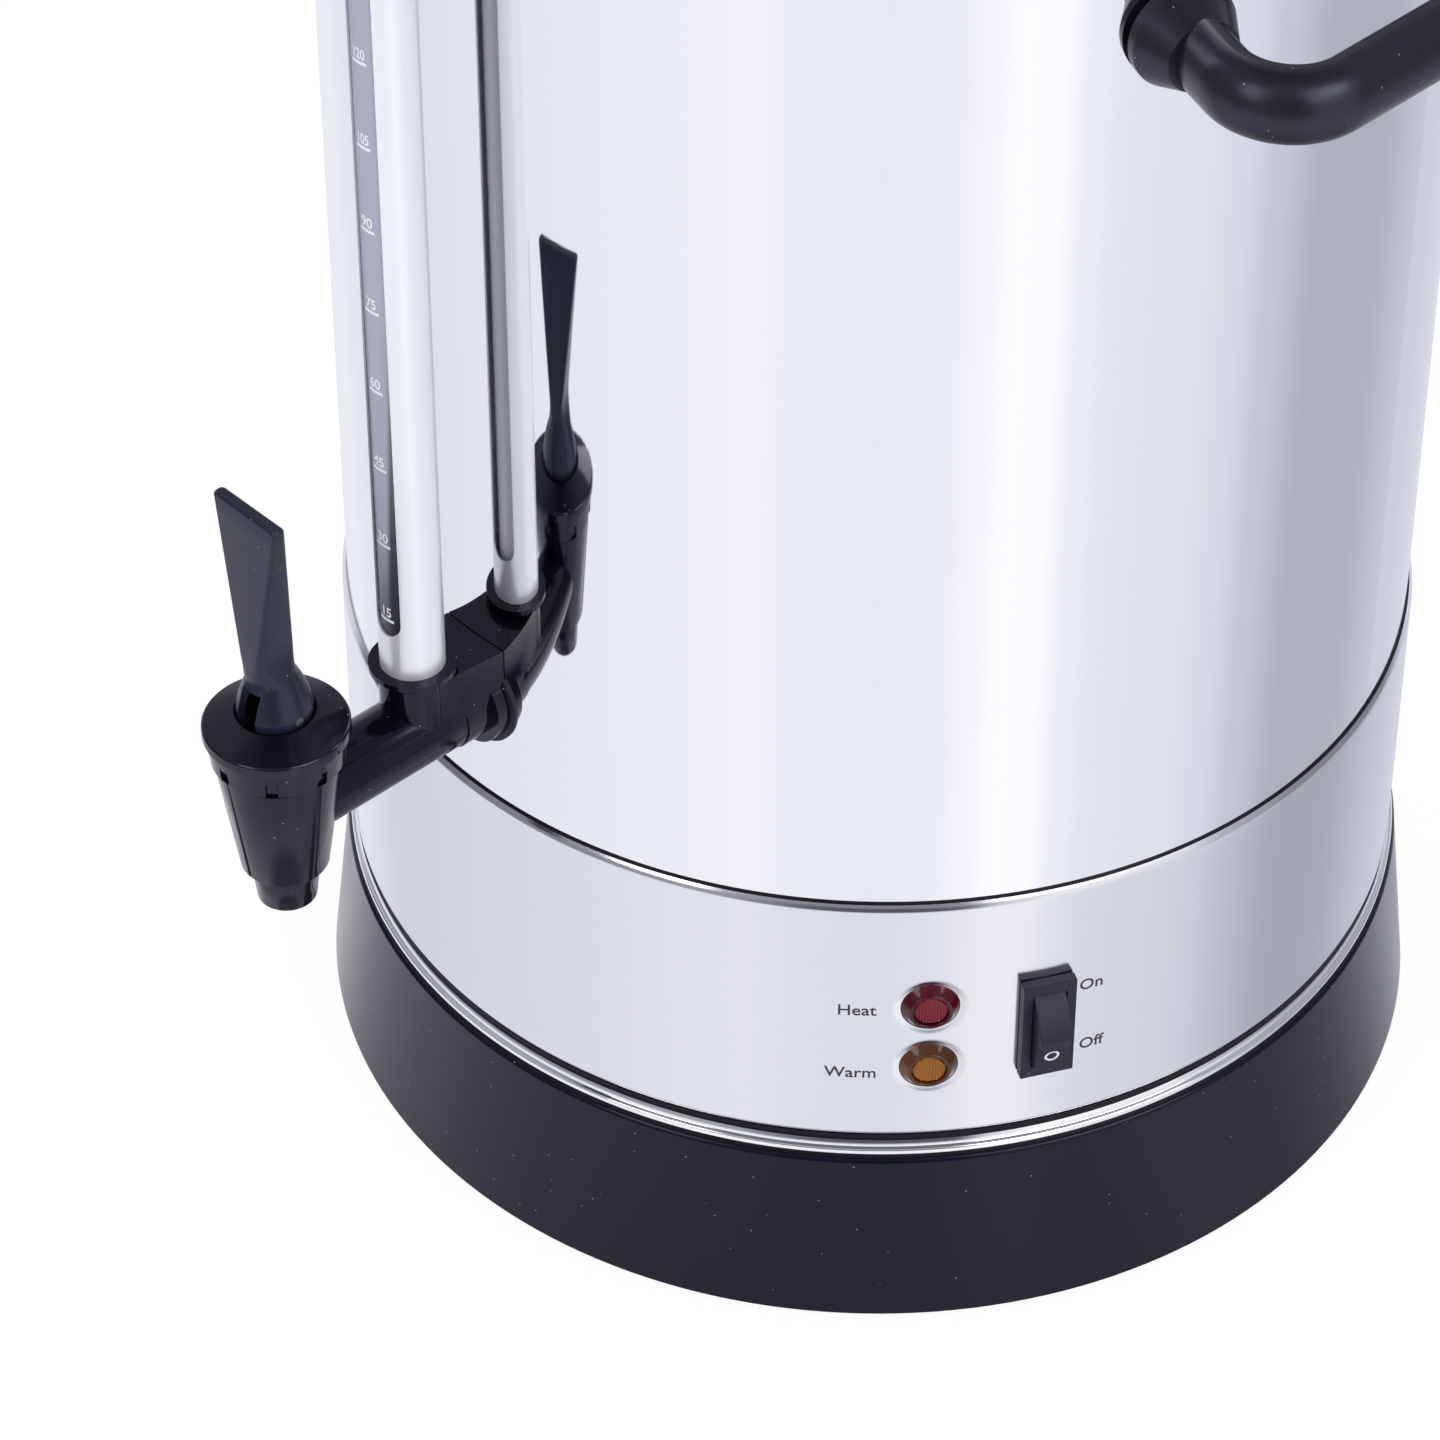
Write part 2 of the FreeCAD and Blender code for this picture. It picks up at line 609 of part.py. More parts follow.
def valve_spring():
    """Return spring between the partition and the stem's collar."""
    wire_r = 0.5
    coil_r = 4.0
    turns = 4.5
    steps = 108
    low = 190.0 + wire_r + 0.03
    rise = PARTITION_LOW - wire_r - 0.03 - low
    points = []
    for i in range(steps + 1):
        a = 2 * math.pi * turns * i / steps
        points.append(V(coil_r * math.cos(a), coil_r * math.sin(a), rise * i / steps))
    path = Part.BSplineCurve()
    path.interpolate(points)
    section = Part.Wire([Part.makeCircle(wire_r, V(coil_r, 0, 0), V(0, 1, 0))])
    coil = Part.Wire([path.toShape()]).makePipeShell([section], True, True)
    coil.translate(V(0, TAP_Y, low))
    return coil


def seal_plug():
    """Silicone plug pulled over the stem's barb; it closes the seat."""
    return turned([
        (0, SEAT_Z + 0.02), (5.6, SEAT_Z + 0.02), (6.5, SEAT_Z + 0.6), (6.5, 164.2), (4.4, 168.0), (1.7, 168.0),
        (1.7, 166.0), (2.3, 165.6), (1.9, 164.0), (0, 164.0),
    ], TAP_Y)


def lever_pin():
    """Steel pin of the lever, pressed in the stem's eye."""
    pin = Part.makeCylinder(PIN_R, 18.4, V(-9.2, TAP_Y, PIVOT_Z), AXIS_X)
    return pin


def lever_line(z):
    """Y of the leaning lever's centre line at a height."""
    return TAP_Y - (z - 205.0) * math.tan(math.radians(LEVER_LEAN))


def tap_lever():
    """Paddle lever: wide thin top, deep narrow neck, bell foot that rolls in the cap's well."""
    neck = LEVER_TOP - 44.0
    waist = (7.2, 11.5, 0.45, lever_line(neck), neck)
    top = rounded(23.0, 3.2, 0.45, lever_line(LEVER_TOP), LEVER_TOP)
    blade = Part.makeLoft([rounded(*waist), top], True, True)
    flare = rounded(8.6, 11.9, 2.6, lever_line(223.6), 223.6)
    throat = rounded(12.6, 12.6, 6.2, TAP_Y, 218.6)
    root = Part.makeLoft([rounded(*waist), flare, throat], True, False)
    bell = turned([(0, 204.5), (8.08, 204.5), (9.5, PIVOT_Z, 1), (9.43, 210.6), (6.5, 219.5), (0, 219.5)], TAP_Y)
    lever = blade.fuse(root).fuse(bell)
    lever = lever.cut(Part.makeSphere(7.3, V(0, TAP_Y, PIVOT_Z)))
    lever = lever.cut(column(5.32, 200, 205, 0, TAP_Y))
    lever = lever.cut(block(-3.2, 3.2, TAP_Y - 12, TAP_Y - 2, 200, 217.4))
    return lever.cut(Part.makeCylinder(PIN_BORE, 24, V(-12, TAP_Y, PIVOT_Z), AXIS_X)).removeSplitter()


# Sight gauge

def gauge_tube():
    """Aluminium guard tube with long round-ended slots front and rear that show the glass and the level."""
    tube = column(GAUGE_TUBE_R, 190.0, GAUGE_TOP, 0, GAUGE_Y).cut(column(7.3, 180, 460, 0, GAUGE_Y))
    half = SLOT_W / 2
    slot = block(-half, half, GAUGE_Y - 12, GAUGE_Y + 12, SLOT_LOW + half, SLOT_TOP - half)
    for z in (SLOT_LOW + half, SLOT_TOP - half):
        slot = slot.fuse(Part.makeCylinder(half, 24, V(0, GAUGE_Y - 12, z), TO_TANK))
    return tube.cut(slot)


def gauge_glass():
    """Borosilicate sight tube."""
    return column(GLASS_R, 186.0, 446.0, 0, GAUGE_Y).cut(column(4.7, 180, 460, 0, GAUGE_Y))


def gauge_lower_seal():
    """Rubber cup that seals the glass in the arm's socket."""
    return turned([
        (4.0, 184.0), (8.25, 184.0), (8.25, 190.0), (GLASS_R, 190.0), (GLASS_R, 186.0), (4.0, 186.0),
    ], GAUGE_Y)


def gauge_top_cap():
    """Moulded cap over tube and glass with a vent and an arm to the tank."""
    cap = turned([
        (8.25, 437.5), (10.2, 437.5), (10.2, 451.0), (9.0, 452.6), (1.2, 453.2), (1.2, 451.0), (5.0, 451.0),
        (5.0, GAUGE_TOP), (8.25, GAUGE_TOP),
    ], GAUGE_Y)
    arm = block(-6.0, 6.0, -156.0, -136.0, 437.5, 444.8)
    foot = block(-9.0, 9.0, -145.0, -136.0, 436.0, 445.6)
    arm = arm.fuse(foot).cut(column(TANK_R, 420, 460))
    arm = arm.cut(column(9.0, 430, 460, 0, GAUGE_Y))
    cap = cap.fuse(arm)
    return cap.cut(bar(1.8, -153.5, -130, 0, 441.0)).removeSplitter()


def gauge_screw():
    """Screw from inside the tank into the gauge cap's arm."""
    one = screw(4.0, 2.4, 1.8, 12.0)
    one.rotate(V(0, 0, 0), AXIS_X, 90)
    one.translate(V(0, -140.55, 441.0))
    return one


# Handles

def handle_azimuths():
    """Azimuths of the four handle feet."""
    return [side + step for side in (90.0, 270.0) for step in (-HANDLE_STEP, HANDLE_STEP)]


def handle():
    """Moulded D handle at +X: an oval bar bent out from two feet that stand square on the tank."""
    a = math.radians(HANDLE_STEP)
    foot_r = 144.0
    reach = 176.0
    corner_r = 16.0
    start = V(foot_r * math.cos(a), -foot_r * math.sin(a), HANDLE_Z)
    corner = V(reach, -reach * math.tan(a), HANDLE_Z)
    leg = (corner - start).normalize()
    turn = math.pi / 2 + a
    back = corner_r * math.tan(turn / 2)
    mid_way = corner_r / math.cos(turn / 2) - corner_r
    bend_in = corner - leg * back
    bend_out = corner + TO_TANK * back
    inward = (TO_TANK - leg).normalize()
    bend_mid = corner + inward * mid_way
    mirror = V(1, -1, 1)
    points = [start, bend_in, bend_mid, bend_out]
    other = [V(p.x * mirror.x, p.y * mirror.y, p.z) for p in points]
    path = Part.Wire([
        Part.makeLine(start, bend_in), Part.Arc(bend_in, bend_mid, bend_out).toShape(),
        Part.makeLine(bend_out, other[3]), Part.Arc(other[3], other[2], other[1]).toShape(),
        Part.makeLine(other[1], other[0]),
    ])
    oval = Part.Ellipse(V(0, 0, 0), 9.5, 7.0).toShape()
    section = Part.Wire([oval])
    section.Placement = FreeCAD.Placement(start, FreeCAD.Rotation(UP, V(leg.y, -leg.x, 0), leg, "ZXY"))
    grip = path.makePipeShell([section], True, False)
    for azimuth in handle_azimuths()[:2]:
        foot = Part.makeCone(13.0, 9.0, 9.0, V(0, 0, 0.8), UP).fuse(column(13.0, -1.6, 0.8))
        grip = grip.fuse(outward(foot, azimuth, foot_r, HANDLE_Z))
    for azimuth in handle_azimuths()[:2]:
        grip = grip.cut(outward(column(2.4, -3, 13), azimuth, foot_r, HANDLE_Z))
    return grip.removeSplitter()


def right_handle():
    """Handle on the +X side."""
    return handle()


def left_handle():
    """Handle on the -X side."""
    return handle().mirror(V(0, 0, 0), AXIS_X)


def handle_pads():
    """Four steel spacers between the handle feet and the tank, saddled to its curve."""
    pads = []
    for azimuth in handle_azimuths():
        pad = column(10.5, -5.0, 1.0).cut(column(2.7, -6, 2))
        pad = outward(pad, azimuth, TANK_R, HANDLE_Z)
        pads.append(pad.cut(column(TANK_R, 350, 430)))
    return Part.makeCompound(pads)


def handle_screws():
    """Four screws from inside the tank into the handle feet."""
    screws = []
    for azimuth in handle_azimuths():
        one = screw(4.6, 2.6, 2.4, 15.0)
        screws.append(outward(one, azimuth, TANK_IN - 0.12, HANDLE_Z))
    return Part.makeCompound(screws)


# Lid

def dome(r):
    """Height of the lid's top at a radius: a circle from its crown down to its flat edge."""
    reach = 134.0
    drop = LID_TOP - RIM_TOP - 0.85
    radius = (reach ** 2 + drop ** 2) / (2 * drop)
    return LID_TOP - radius + math.sqrt(radius ** 2 - r ** 2)


def lid():
    """Domed steel lid with a flat rolled edge and a locating lip, hole for the knob's screw."""
    low = RIM_TOP + 0.05
    shell = turned([
        (2.6, dome(2.6) - 0.8), (2.6, dome(2.6)), (80.0, dome(80.0), 1), (134.0, low + 0.8), (146.6, low + 0.8),
        (147.2, low + 0.2, 1), (146.9, low - 0.9), (146.3, low - 0.9), (146.2, low), (139.9, low),
        (139.9, low - 6.4), (139.1, low - 6.4), (139.1, low), (134.2, low), (80.0, dome(80.0) - 0.8, 1),
    ])
    return shell


def lid_knob():
    """Heat-proof knob with a waisted foot and a finger skirt."""
    return turned([
        (0, LID_TOP + 6.0), (2.0, LID_TOP + 6.0), (2.0, dome(2.0) + 0.02), (8.5, dome(8.5) + 0.02, 1),
        (15.0, dome(15.0) + 0.02), (15.0, LID_TOP + 1.6),
        (10.5, LID_TOP + 9.0, 1), (14.5, LID_TOP + 16.0), (21.5, LID_TOP + 17.5), (22.6, LID_TOP + 20.5, 1),
        (21.0, LID_TOP + 23.6), (12.0, LID_TOP + 27.0, 1), (2.0, LID_TOP + 28.0), (0, LID_TOP + 28.0),
    ])


def knob_screw():
    """Screw from under the lid into the knob."""
    one = screw(4.4, 2.4, 2.0, 6.8)
    one.translate(V(0, 0, dome(4.4) - 0.86))
    return one


NODES = [
    base_skirt, base_plate, rubber_foot_ring, base_screws, trim_ring, tie_rods, tie_rod_nuts,
    control_band, tank_wall, tank_floor, heat_plate, heating_element, keep_warm_element,
    thermostat, thermal_cutout, sensor_screws, terminal_block, terminal_screws, cord_gland, gland_nut,
    red_lamp_lens, amber_lamp_lens, red_lamp_body, amber_lamp_body, switch_frame, switch_rocker,
    tap_arm, tap_outer_washer, tap_inner_washer, shank_nut, tap_body, tap_cap, stem_seal,
    valve_stem, valve_spring, seal_plug, lever_pin, tap_lever,
    gauge_tube, gauge_glass, gauge_lower_seal, gauge_top_cap, gauge_screw,
    right_handle, left_handle, handle_pads, handle_screws, lid, lid_knob, knob_screw,
]

LOWERED = [
    tap_arm, tap_outer_washer, tap_inner_washer, shank_nut, tap_body, tap_cap, stem_seal,
    valve_stem, valve_spring, seal_plug, lever_pin, tap_lever,
    gauge_tube, gauge_glass, gauge_lower_seal, gauge_top_cap, gauge_screw,
]

os.makedirs("parts", exist_ok=True)
for make in NODES:
    solid = make()
    name = make.__name__
    if make in LOWERED:
        solid.translate(UP * -TAP_DROP)
    print(name, "valid", solid.isValid(), "solids", len(solid.Solids), "volume", round(solid.Volume, 1))
    solid.exportStep(os.path.join("parts", name + ".step"))
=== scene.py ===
# %% [markdown]
# # A catering hot water urn
# The urn is a steel drum of about 15 litres on a flared black base, with a lever tap in front.
# This notebook dresses its solid model: smooth metal, moulded plastic, printed marks and studio light.
# Lengths are written in millimetres and turned into metres with MM, so they can be compared with a ruler.

# %% Load the solid model
import bpy
import math
import json
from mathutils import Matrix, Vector

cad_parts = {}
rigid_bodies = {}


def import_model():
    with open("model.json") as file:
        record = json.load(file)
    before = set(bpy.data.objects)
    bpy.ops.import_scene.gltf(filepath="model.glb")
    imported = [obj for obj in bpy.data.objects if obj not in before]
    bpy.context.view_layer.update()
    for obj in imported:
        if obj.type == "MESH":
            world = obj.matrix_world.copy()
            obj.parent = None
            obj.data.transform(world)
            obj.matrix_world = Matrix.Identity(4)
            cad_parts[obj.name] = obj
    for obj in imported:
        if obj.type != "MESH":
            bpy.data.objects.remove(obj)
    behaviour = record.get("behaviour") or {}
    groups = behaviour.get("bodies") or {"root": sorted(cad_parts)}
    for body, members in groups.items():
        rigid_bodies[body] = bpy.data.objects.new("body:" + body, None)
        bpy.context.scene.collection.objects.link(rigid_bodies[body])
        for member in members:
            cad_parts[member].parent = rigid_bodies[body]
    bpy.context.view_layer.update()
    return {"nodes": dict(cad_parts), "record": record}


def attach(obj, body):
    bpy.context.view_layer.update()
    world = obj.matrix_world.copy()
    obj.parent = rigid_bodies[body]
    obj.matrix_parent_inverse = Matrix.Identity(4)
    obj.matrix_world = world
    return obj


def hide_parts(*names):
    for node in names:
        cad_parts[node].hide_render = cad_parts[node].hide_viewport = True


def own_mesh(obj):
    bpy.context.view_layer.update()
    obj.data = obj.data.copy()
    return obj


bpy.ops.object.select_all(action="SELECT")
bpy.ops.object.delete()
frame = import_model()
nodes = frame["nodes"]
MM = 0.001

# %% Sizes of the real urn
TANK_R = 141.4
BAND_R = 142.8
RIM_Z = 449.6
TAP_Y = -205.0
GAUGE_Y = -161.6
TAP_DROP = 4.0
LAMP_AZ = 51.2
SWITCH_AZ = 63.24
RED_Z = 105.45
AMBER_Z = 84.85
SWITCH_Z = 95.4
SCALE_AZ = 0.0
ARM_Z = 176.4 - TAP_DROP
TOP_SCREW_Z = 441.0 - TAP_DROP
HANDLE_Z = 392.0
HANDLE_BOLTS = (71.4, 108.6, 251.4, 288.6)
LAMP_HEIGHTS = (RED_Z, AMBER_Z)
WALL_STEPS = 256
MERGE = 0.000002
print("tank diameter", 2 * TANK_R, "mm")

# %% [markdown]
# ## Helpers for turned pieces
# Most of an urn is round. A maker spins or turns such pieces, so here a profile is drawn by extruding one
# vertex from point to point, and the Spin tool sweeps it round the axis. A third value in a profile point
# marks the middle of an arc, as on a workshop drawing.


# %% Selection and placing
def clear_selection():
    """Leave edit mode and select nothing."""
    if bpy.context.object and bpy.context.object.mode != "OBJECT":
        bpy.ops.object.mode_set(mode="OBJECT")
    bpy.ops.object.select_all(action="DESELECT")


def only(obj):
    """Make one object the selected and active one."""
    clear_selection()
    obj.select_set(True)
    bpy.context.view_layer.objects.active = obj


def settle(obj):
    """Put an object's place, turn and scale into its mesh."""
    only(obj)
    bpy.ops.object.transform_apply(location=True, rotation=True, scale=True)


def put(obj, turn, spot):
    """Turn a piece by degrees about X, Y and Z, move it to a spot in millimetres, and settle it there."""
    obj.rotation_euler = [math.radians(angle) for angle in turn]
    obj.location = [value * MM for value in spot]
    settle(obj)
    return obj


def stand(obj, azimuth, radius, height):
    """Stand a piece drawn with X right, Y up and Z outward on the tank's side."""
    a = math.radians(azimuth)
    return put(obj, (90, 0, azimuth), (math.sin(a) * radius, -math.cos(a) * radius, height))


# %% Profiles
def arc_points(a, m, b, steps):
    """Points on the circle through a, m and b, from after a to b."""
    d = 2 * (a[0] * (m[1] - b[1]) + m[0] * (b[1] - a[1]) + b[0] * (a[1] - m[1]))
    sa, sm, sb = (p[0] ** 2 + p[1] ** 2 for p in (a, m, b))
    cx = (sa * (m[1] - b[1]) + sm * (b[1] - a[1]) + sb * (a[1] - m[1])) / d
    cy = (sa * (b[0] - m[0]) + sm * (a[0] - b[0]) + sb * (m[0] - a[0])) / d
    radius = math.hypot(a[0] - cx, a[1] - cy)
    angles = [math.atan2(p[1] - cy, p[0] - cx) for p in (a, m, b)]
    turn = (angles[2] - angles[0]) % (2 * math.pi)
    if (angles[1] - angles[0]) % (2 * math.pi) > turn:
        turn -= 2 * math.pi
    swept = [angles[0] + turn * i / steps for i in range(1, steps + 1)]
    return [(cx + radius * math.cos(t), cy + radius * math.sin(t)) for t in swept]


def outline(points, steps=6, closed=True):
    """Profile with its arcs written out."""
    if closed:
        points = points + [points[0]]
    result = [points[0]]
    middle = None
    for point in points[1:]:
        if len(point) == 3:
            middle = point
        elif middle:
            result += arc_points(result[-1], middle, point, steps)
            middle = None
        else:
            result.append(point)
    return result


def trace(name, points, y=0.0, drop=0.0):
    """Wire along a profile, drawn by extruding a single vertex."""
    clear_selection()
    r, z = points[0]
    bpy.ops.mesh.primitive_plane_add(size=0.001, location=(r * MM, y * MM, (z - drop) * MM))
    obj = bpy.context.object
    obj.name = name
    bpy.ops.object.mode_set(mode="EDIT")
    bpy.ops.mesh.select_all(action="SELECT")
    bpy.ops.mesh.merge(type="CENTER")
    for a, b in zip(points, points[1:]):
        step = ((b[0] - a[0]) * MM, 0, (b[1] - a[1]) * MM)
        bpy.ops.mesh.extrude_region_move(TRANSFORM_OT_translate={"value": step})
    return obj


def face_outward():
    """Turn every face of the mesh in edit mode outward."""
    bpy.ops.mesh.select_all(action="SELECT")
    bpy.ops.mesh.normals_make_consistent(inside=False)


def merge_doubles(reach=MERGE):
    """Make one of each pair of points that lie together in the mesh in edit mode."""
    bpy.ops.mesh.select_all(action="SELECT")
    bpy.ops.mesh.remove_doubles(threshold=reach)


def spin_wire(obj, steps, y=0.0, angle=360.0, close=True):
    """Sweep the wire in edit mode round an upright axis."""
    bpy.ops.mesh.spin(steps=steps, angle=math.radians(angle), center=(0, y * MM, 0), axis=(0, 0, 1))
    if close:
        merge_doubles()
        face_outward()
        settle(obj)


def plate(name, points, thickness, drop=0.0):
    """Plate with a drawn outline, upright in the XZ plane, its thickness centred on Y."""
    piece = trace(name, points, 0.0, drop)
    merge_doubles()
    bpy.ops.mesh.edge_face_add()
    bpy.ops.mesh.extrude_region_move(TRANSFORM_OT_translate={"value": (0, thickness * MM, 0)})
    face_outward()
    bpy.ops.transform.translate(value=(0, -thickness / 2 * MM, 0))
    settle(piece)
    return piece


def turned(name, points, steps=96, y=0.0, drop=0.0, arc_steps=6, closed=True):
    """Closed piece turned from a profile."""
    obj = trace(name, outline(points, arc_steps, closed), y, drop)
    bpy.ops.mesh.select_all(action="SELECT")
    spin_wire(obj, steps, y)
    print(name, "turned,", len(obj.data.polygons), "faces")
    return obj


# %% Cutting, joining and rounding
def drum(radius, low, high, sides=64):
    """Upright cylinder to cut or add with, drawn at the origin."""
    clear_selection()
    place = (0, 0, (low + high) / 2 * MM)
    depth = (high - low) * MM
    bpy.ops.mesh.primitive_cylinder_add(vertices=sides, radius=radius * MM, depth=depth, location=place)
    return bpy.context.object


def brick(x0, x1, y0, y1, z0, z1):
    """Box between two corners."""
    clear_selection()
    middle = ((x0 + x1) / 2 * MM, (y0 + y1) / 2 * MM, (z0 + z1) / 2 * MM)
    lengths = ((x1 - x0) * MM, (y1 - y0) * MM, (z1 - z0) * MM)
    bpy.ops.mesh.primitive_cube_add(size=1, location=middle, scale=lengths)
    obj = bpy.context.object
    settle(obj)
    return obj


def combine(obj, tools, operation="DIFFERENCE"):
    """Cut tools out of a piece, or weld them to it, and throw the tools away."""
    for tool in tools:
        only(obj)
        mod = obj.modifiers.new("Cut", "BOOLEAN")
        mod.operation = operation
        mod.solver = "EXACT"
        mod.object = tool
        bpy.ops.object.modifier_apply(modifier=mod.name)
        bpy.data.objects.remove(tool)
    return obj


def round_edges(obj, width, segments=2, limit=35.0):
    """Small radius on every sharp edge, as moulds and dies leave it."""
    only(obj)
    bpy.ops.object.shade_smooth()
    mod = obj.modifiers.new("Rounded edges", "BEVEL")
    mod.width = width * MM
    mod.segments = segments
    mod.limit_method = "ANGLE"
    mod.angle_limit = math.radians(limit)
    mod.harden_normals = True
    bpy.ops.object.modifier_apply(modifier=mod.name)
    return obj


def smooth(obj, limit=35.0):
    """Smooth shading with sharp edges kept."""
    only(obj)
    bpy.ops.object.shade_smooth_by_angle(angle=math.radians(limit))
    return obj


def join(parts, name):
    """One object from several."""
    clear_selection()
    for part in parts:
        part.select_set(True)
    bpy.context.view_layer.objects.active = parts[0]
    bpy.ops.object.join()
    parts[0].name = name
    return parts[0]


# %% [markdown]
# ## Shared effects
# Fine grain, brushing and dust occur on several finishes, so each is a node group with its own inputs.
# All of them read Object coordinates, so a pattern stays on its piece when the piece moves.


# %% Node helpers
def new_group(name, inputs, outputs):
    """Empty shader node group with float inputs (name, default) and outputs (name)."""
    group = bpy.data.node_groups.new(name, "ShaderNodeTree")
    for label, value in inputs:
        socket = group.interface.new_socket(name=label, in_out="INPUT", socket_type="NodeSocketFloat")
        socket.default_value = value
    for label in outputs:
        group.interface.new_socket(name=label, in_out="OUTPUT", socket_type="NodeSocketFloat")
    return group, group.nodes.new("NodeGroupInput"), group.nodes.new("NodeGroupOutput")


def feed(tree, value, socket):
    """Link a socket, or set it to a number or a colour."""
    if isinstance(value, bpy.types.NodeSocket):
        tree.links.new(value, socket)
    else:
        socket.default_value = (*value, 1.0) if isinstance(value, tuple) else value


def math_node(tree, operation, a, b=None):
    """Math node fed by sockets or numbers."""
    node = tree.nodes.new("ShaderNodeMath")
    node.operation = operation
    feed(tree, a, node.inputs[0])
    if b is not None:
        feed(tree, b, node.inputs[1])
    return node.outputs[0]


def times(tree, *values):
    """Product of sockets and numbers."""
    result = values[0]
    for value in values[1:]:
        result = math_node(tree, "MULTIPLY", result, value)
    return result


def span(tree, value, low, high, to_low=0.0, to_high=1.0):
    """Map a value from one range to another, clamped and smooth."""
    node = tree.nodes.new("ShaderNodeMapRange")
    node.interpolation_type = "SMOOTHSTEP"
    for label, number in (("From Min", low), ("From Max", high), ("To Min", to_low), ("To Max", to_high)):
        node.inputs[label].default_value = number
    tree.links.new(value, node.inputs["Value"])
    return node.outputs["Result"]


def mix_colours(tree, factor, a, b):
    """Blend two colours, each a socket or a triple."""
    node = tree.nodes.new("ShaderNodeMix")
    node.data_type = "RGBA"
    tree.links.new(factor, node.inputs["Factor"])
    feed(tree, a, node.inputs["A"])
    feed(tree, b, node.inputs["B"])
    return node.outputs["Result"]


def own_place(tree):
    """Coordinates that stay with the piece when it moves."""
    return tree.nodes.new("ShaderNodeTexCoord").outputs["Object"]


def split(tree, vector):
    """X, Y and Z of a vector."""
    node = tree.nodes.new("ShaderNodeSeparateXYZ")
    tree.links.new(vector, node.inputs[0])
    return node.outputs


def noise(tree, vector, scale, detail=2.0, roughness=0.5):
    """Noise texture on a vector; scale may be a socket."""
    node = tree.nodes.new("ShaderNodeTexNoise")
    node.inputs["Detail"].default_value = detail
    node.inputs["Roughness"].default_value = roughness
    feed(tree, scale, node.inputs["Scale"])
    tree.links.new(vector, node.inputs["Vector"])
    return node.outputs["Fac"]


# %% Fine grain group: the texture of a moulded surface
def make_grain():
    group, given, result = new_group("Fine grain", [("Scale", 2500.0)], ["Height", "Tone"])
    place = own_place(group)
    group.links.new(noise(group, place, given.outputs["Scale"]), result.inputs["Height"])
    broad = noise(group, place, 60.0, 3.0)
    group.links.new(span(group, broad, 0.3, 0.7), result.inputs["Tone"])
    return group


# %% Brushed lines group: fine scratches that run round the drum
def make_brushing():
    inputs = [("Fineness", 9000.0), ("Length", 60.0)]
    group, given, result = new_group("Brushed lines", inputs, ["Height", "Streak"])
    place = split(group, own_place(group))
    stretched = group.nodes.new("ShaderNodeCombineXYZ")
    for axis, label in enumerate(("Length", "Length", "Fineness")):
        group.links.new(times(group, place[axis], given.outputs[label]), stretched.inputs[axis])
    lines = noise(group, stretched.outputs[0], 1.0, 3.0, 0.6)
    group.links.new(lines, result.inputs["Height"])
    group.links.new(span(group, lines, 0.3, 0.7), result.inputs["Streak"])
    return group


# %% Dust group: sparse pale specks on dark plastic
def make_dust():
    """Each cell of a Voronoi pattern may hold one round speck; a noise value picks the few cells that do."""
    group, given, result = new_group("Dust specks", [("Scale", 700.0), ("Share", 0.06)], ["Speck"])
    cells = group.nodes.new("ShaderNodeTexVoronoi")
    group.links.new(own_place(group), cells.inputs["Vector"])
    group.links.new(given.outputs["Scale"], cells.inputs["Scale"])
    dot = span(group, cells.outputs["Distance"], 0.10, 0.20, 1.0, 0.0)
    chance = group.nodes.new("ShaderNodeTexNoise")
    group.links.new(cells.outputs["Position"], chance.inputs["Vector"])
    chance.inputs["Scale"].default_value = 731.0
    off_middle = math_node(group, "ABSOLUTE", math_node(group, "SUBTRACT", chance.outputs["Fac"], 0.5))
    chosen = math_node(group, "LESS_THAN", off_middle, given.outputs["Share"])
    group.links.new(times(group, dot, chosen), result.inputs["Speck"])
    return group


GRAIN = make_grain()
BRUSHING = make_brushing()
DUST = make_dust()
print("node groups", GRAIN.name, BRUSHING.name, DUST.name)

# %% [markdown]
# ## Finishes
# Every finish is a Principled shader. Constant values sit on the shader's own sockets; the groups add
# only what changes over the surface: a trace of brushing in steel, grain and a few dust specks on
# plastic.


# %% Finish helpers
def finish(name, colour, metallic, roughness, **more):
    """New material with a Principled shader; extra sockets are given by name with _ for a space."""
    material = bpy.data.materials.new(name)
    material.use_nodes = True
    shader = material.node_tree.nodes["Principled BSDF"]
    shader.inputs["Base Color"].default_value = (*colour, 1.0)
    shader.inputs["Metallic"].default_value = metallic
    shader.inputs["Roughness"].default_value = roughness
    for key, value in more.items():
        shader.inputs[key.replace("_", " ")].default_value = value
    return material


def use_group(material, group, **values):
    """Place a node group in a material with its own values."""
    node = material.node_tree.nodes.new("ShaderNodeGroup")
    node.node_tree = group
    for key, value in values.items():
        node.inputs[key].default_value = value
    return node


def bump(material, height, strength, distance):
    """Feed a height into the shader's normal."""
    tree = material.node_tree
    node = tree.nodes.new("ShaderNodeBump")
    node.inputs["Strength"].default_value = strength
    node.inputs["Distance"].default_value = distance
    tree.links.new(height, node.inputs["Height"])
    tree.links.new(node.outputs["Normal"], tree.nodes["Principled BSDF"].inputs["Normal"])


def two_tone(material, factor, low, high):
    """Base colour mixed from two by a factor."""
    tree = material.node_tree
    tree.links.new(mix_colours(tree, factor, low, high), tree.nodes["Principled BSDF"].inputs["Base Color"])


def vary_roughness(material, factor, low, high):
    """Roughness that follows a mask."""
    tree = material.node_tree
    tree.links.new(span(tree, factor, 0.0, 1.0, low, high), tree.nodes["Principled BSDF"].inputs["Roughness"])


def steel(name, colour, roughness, fineness, amount, spread=0.02, metallic=1.0):
    """Metal with brushing that runs round the drum."""
    material = finish(name, colour, metallic, roughness)
    lines = use_group(material, BRUSHING, Fineness=fineness)
    bump(material, lines.outputs["Height"], amount, 0.00002)
    vary_roughness(material, lines.outputs["Streak"], roughness - spread, roughness + spread)
    return material


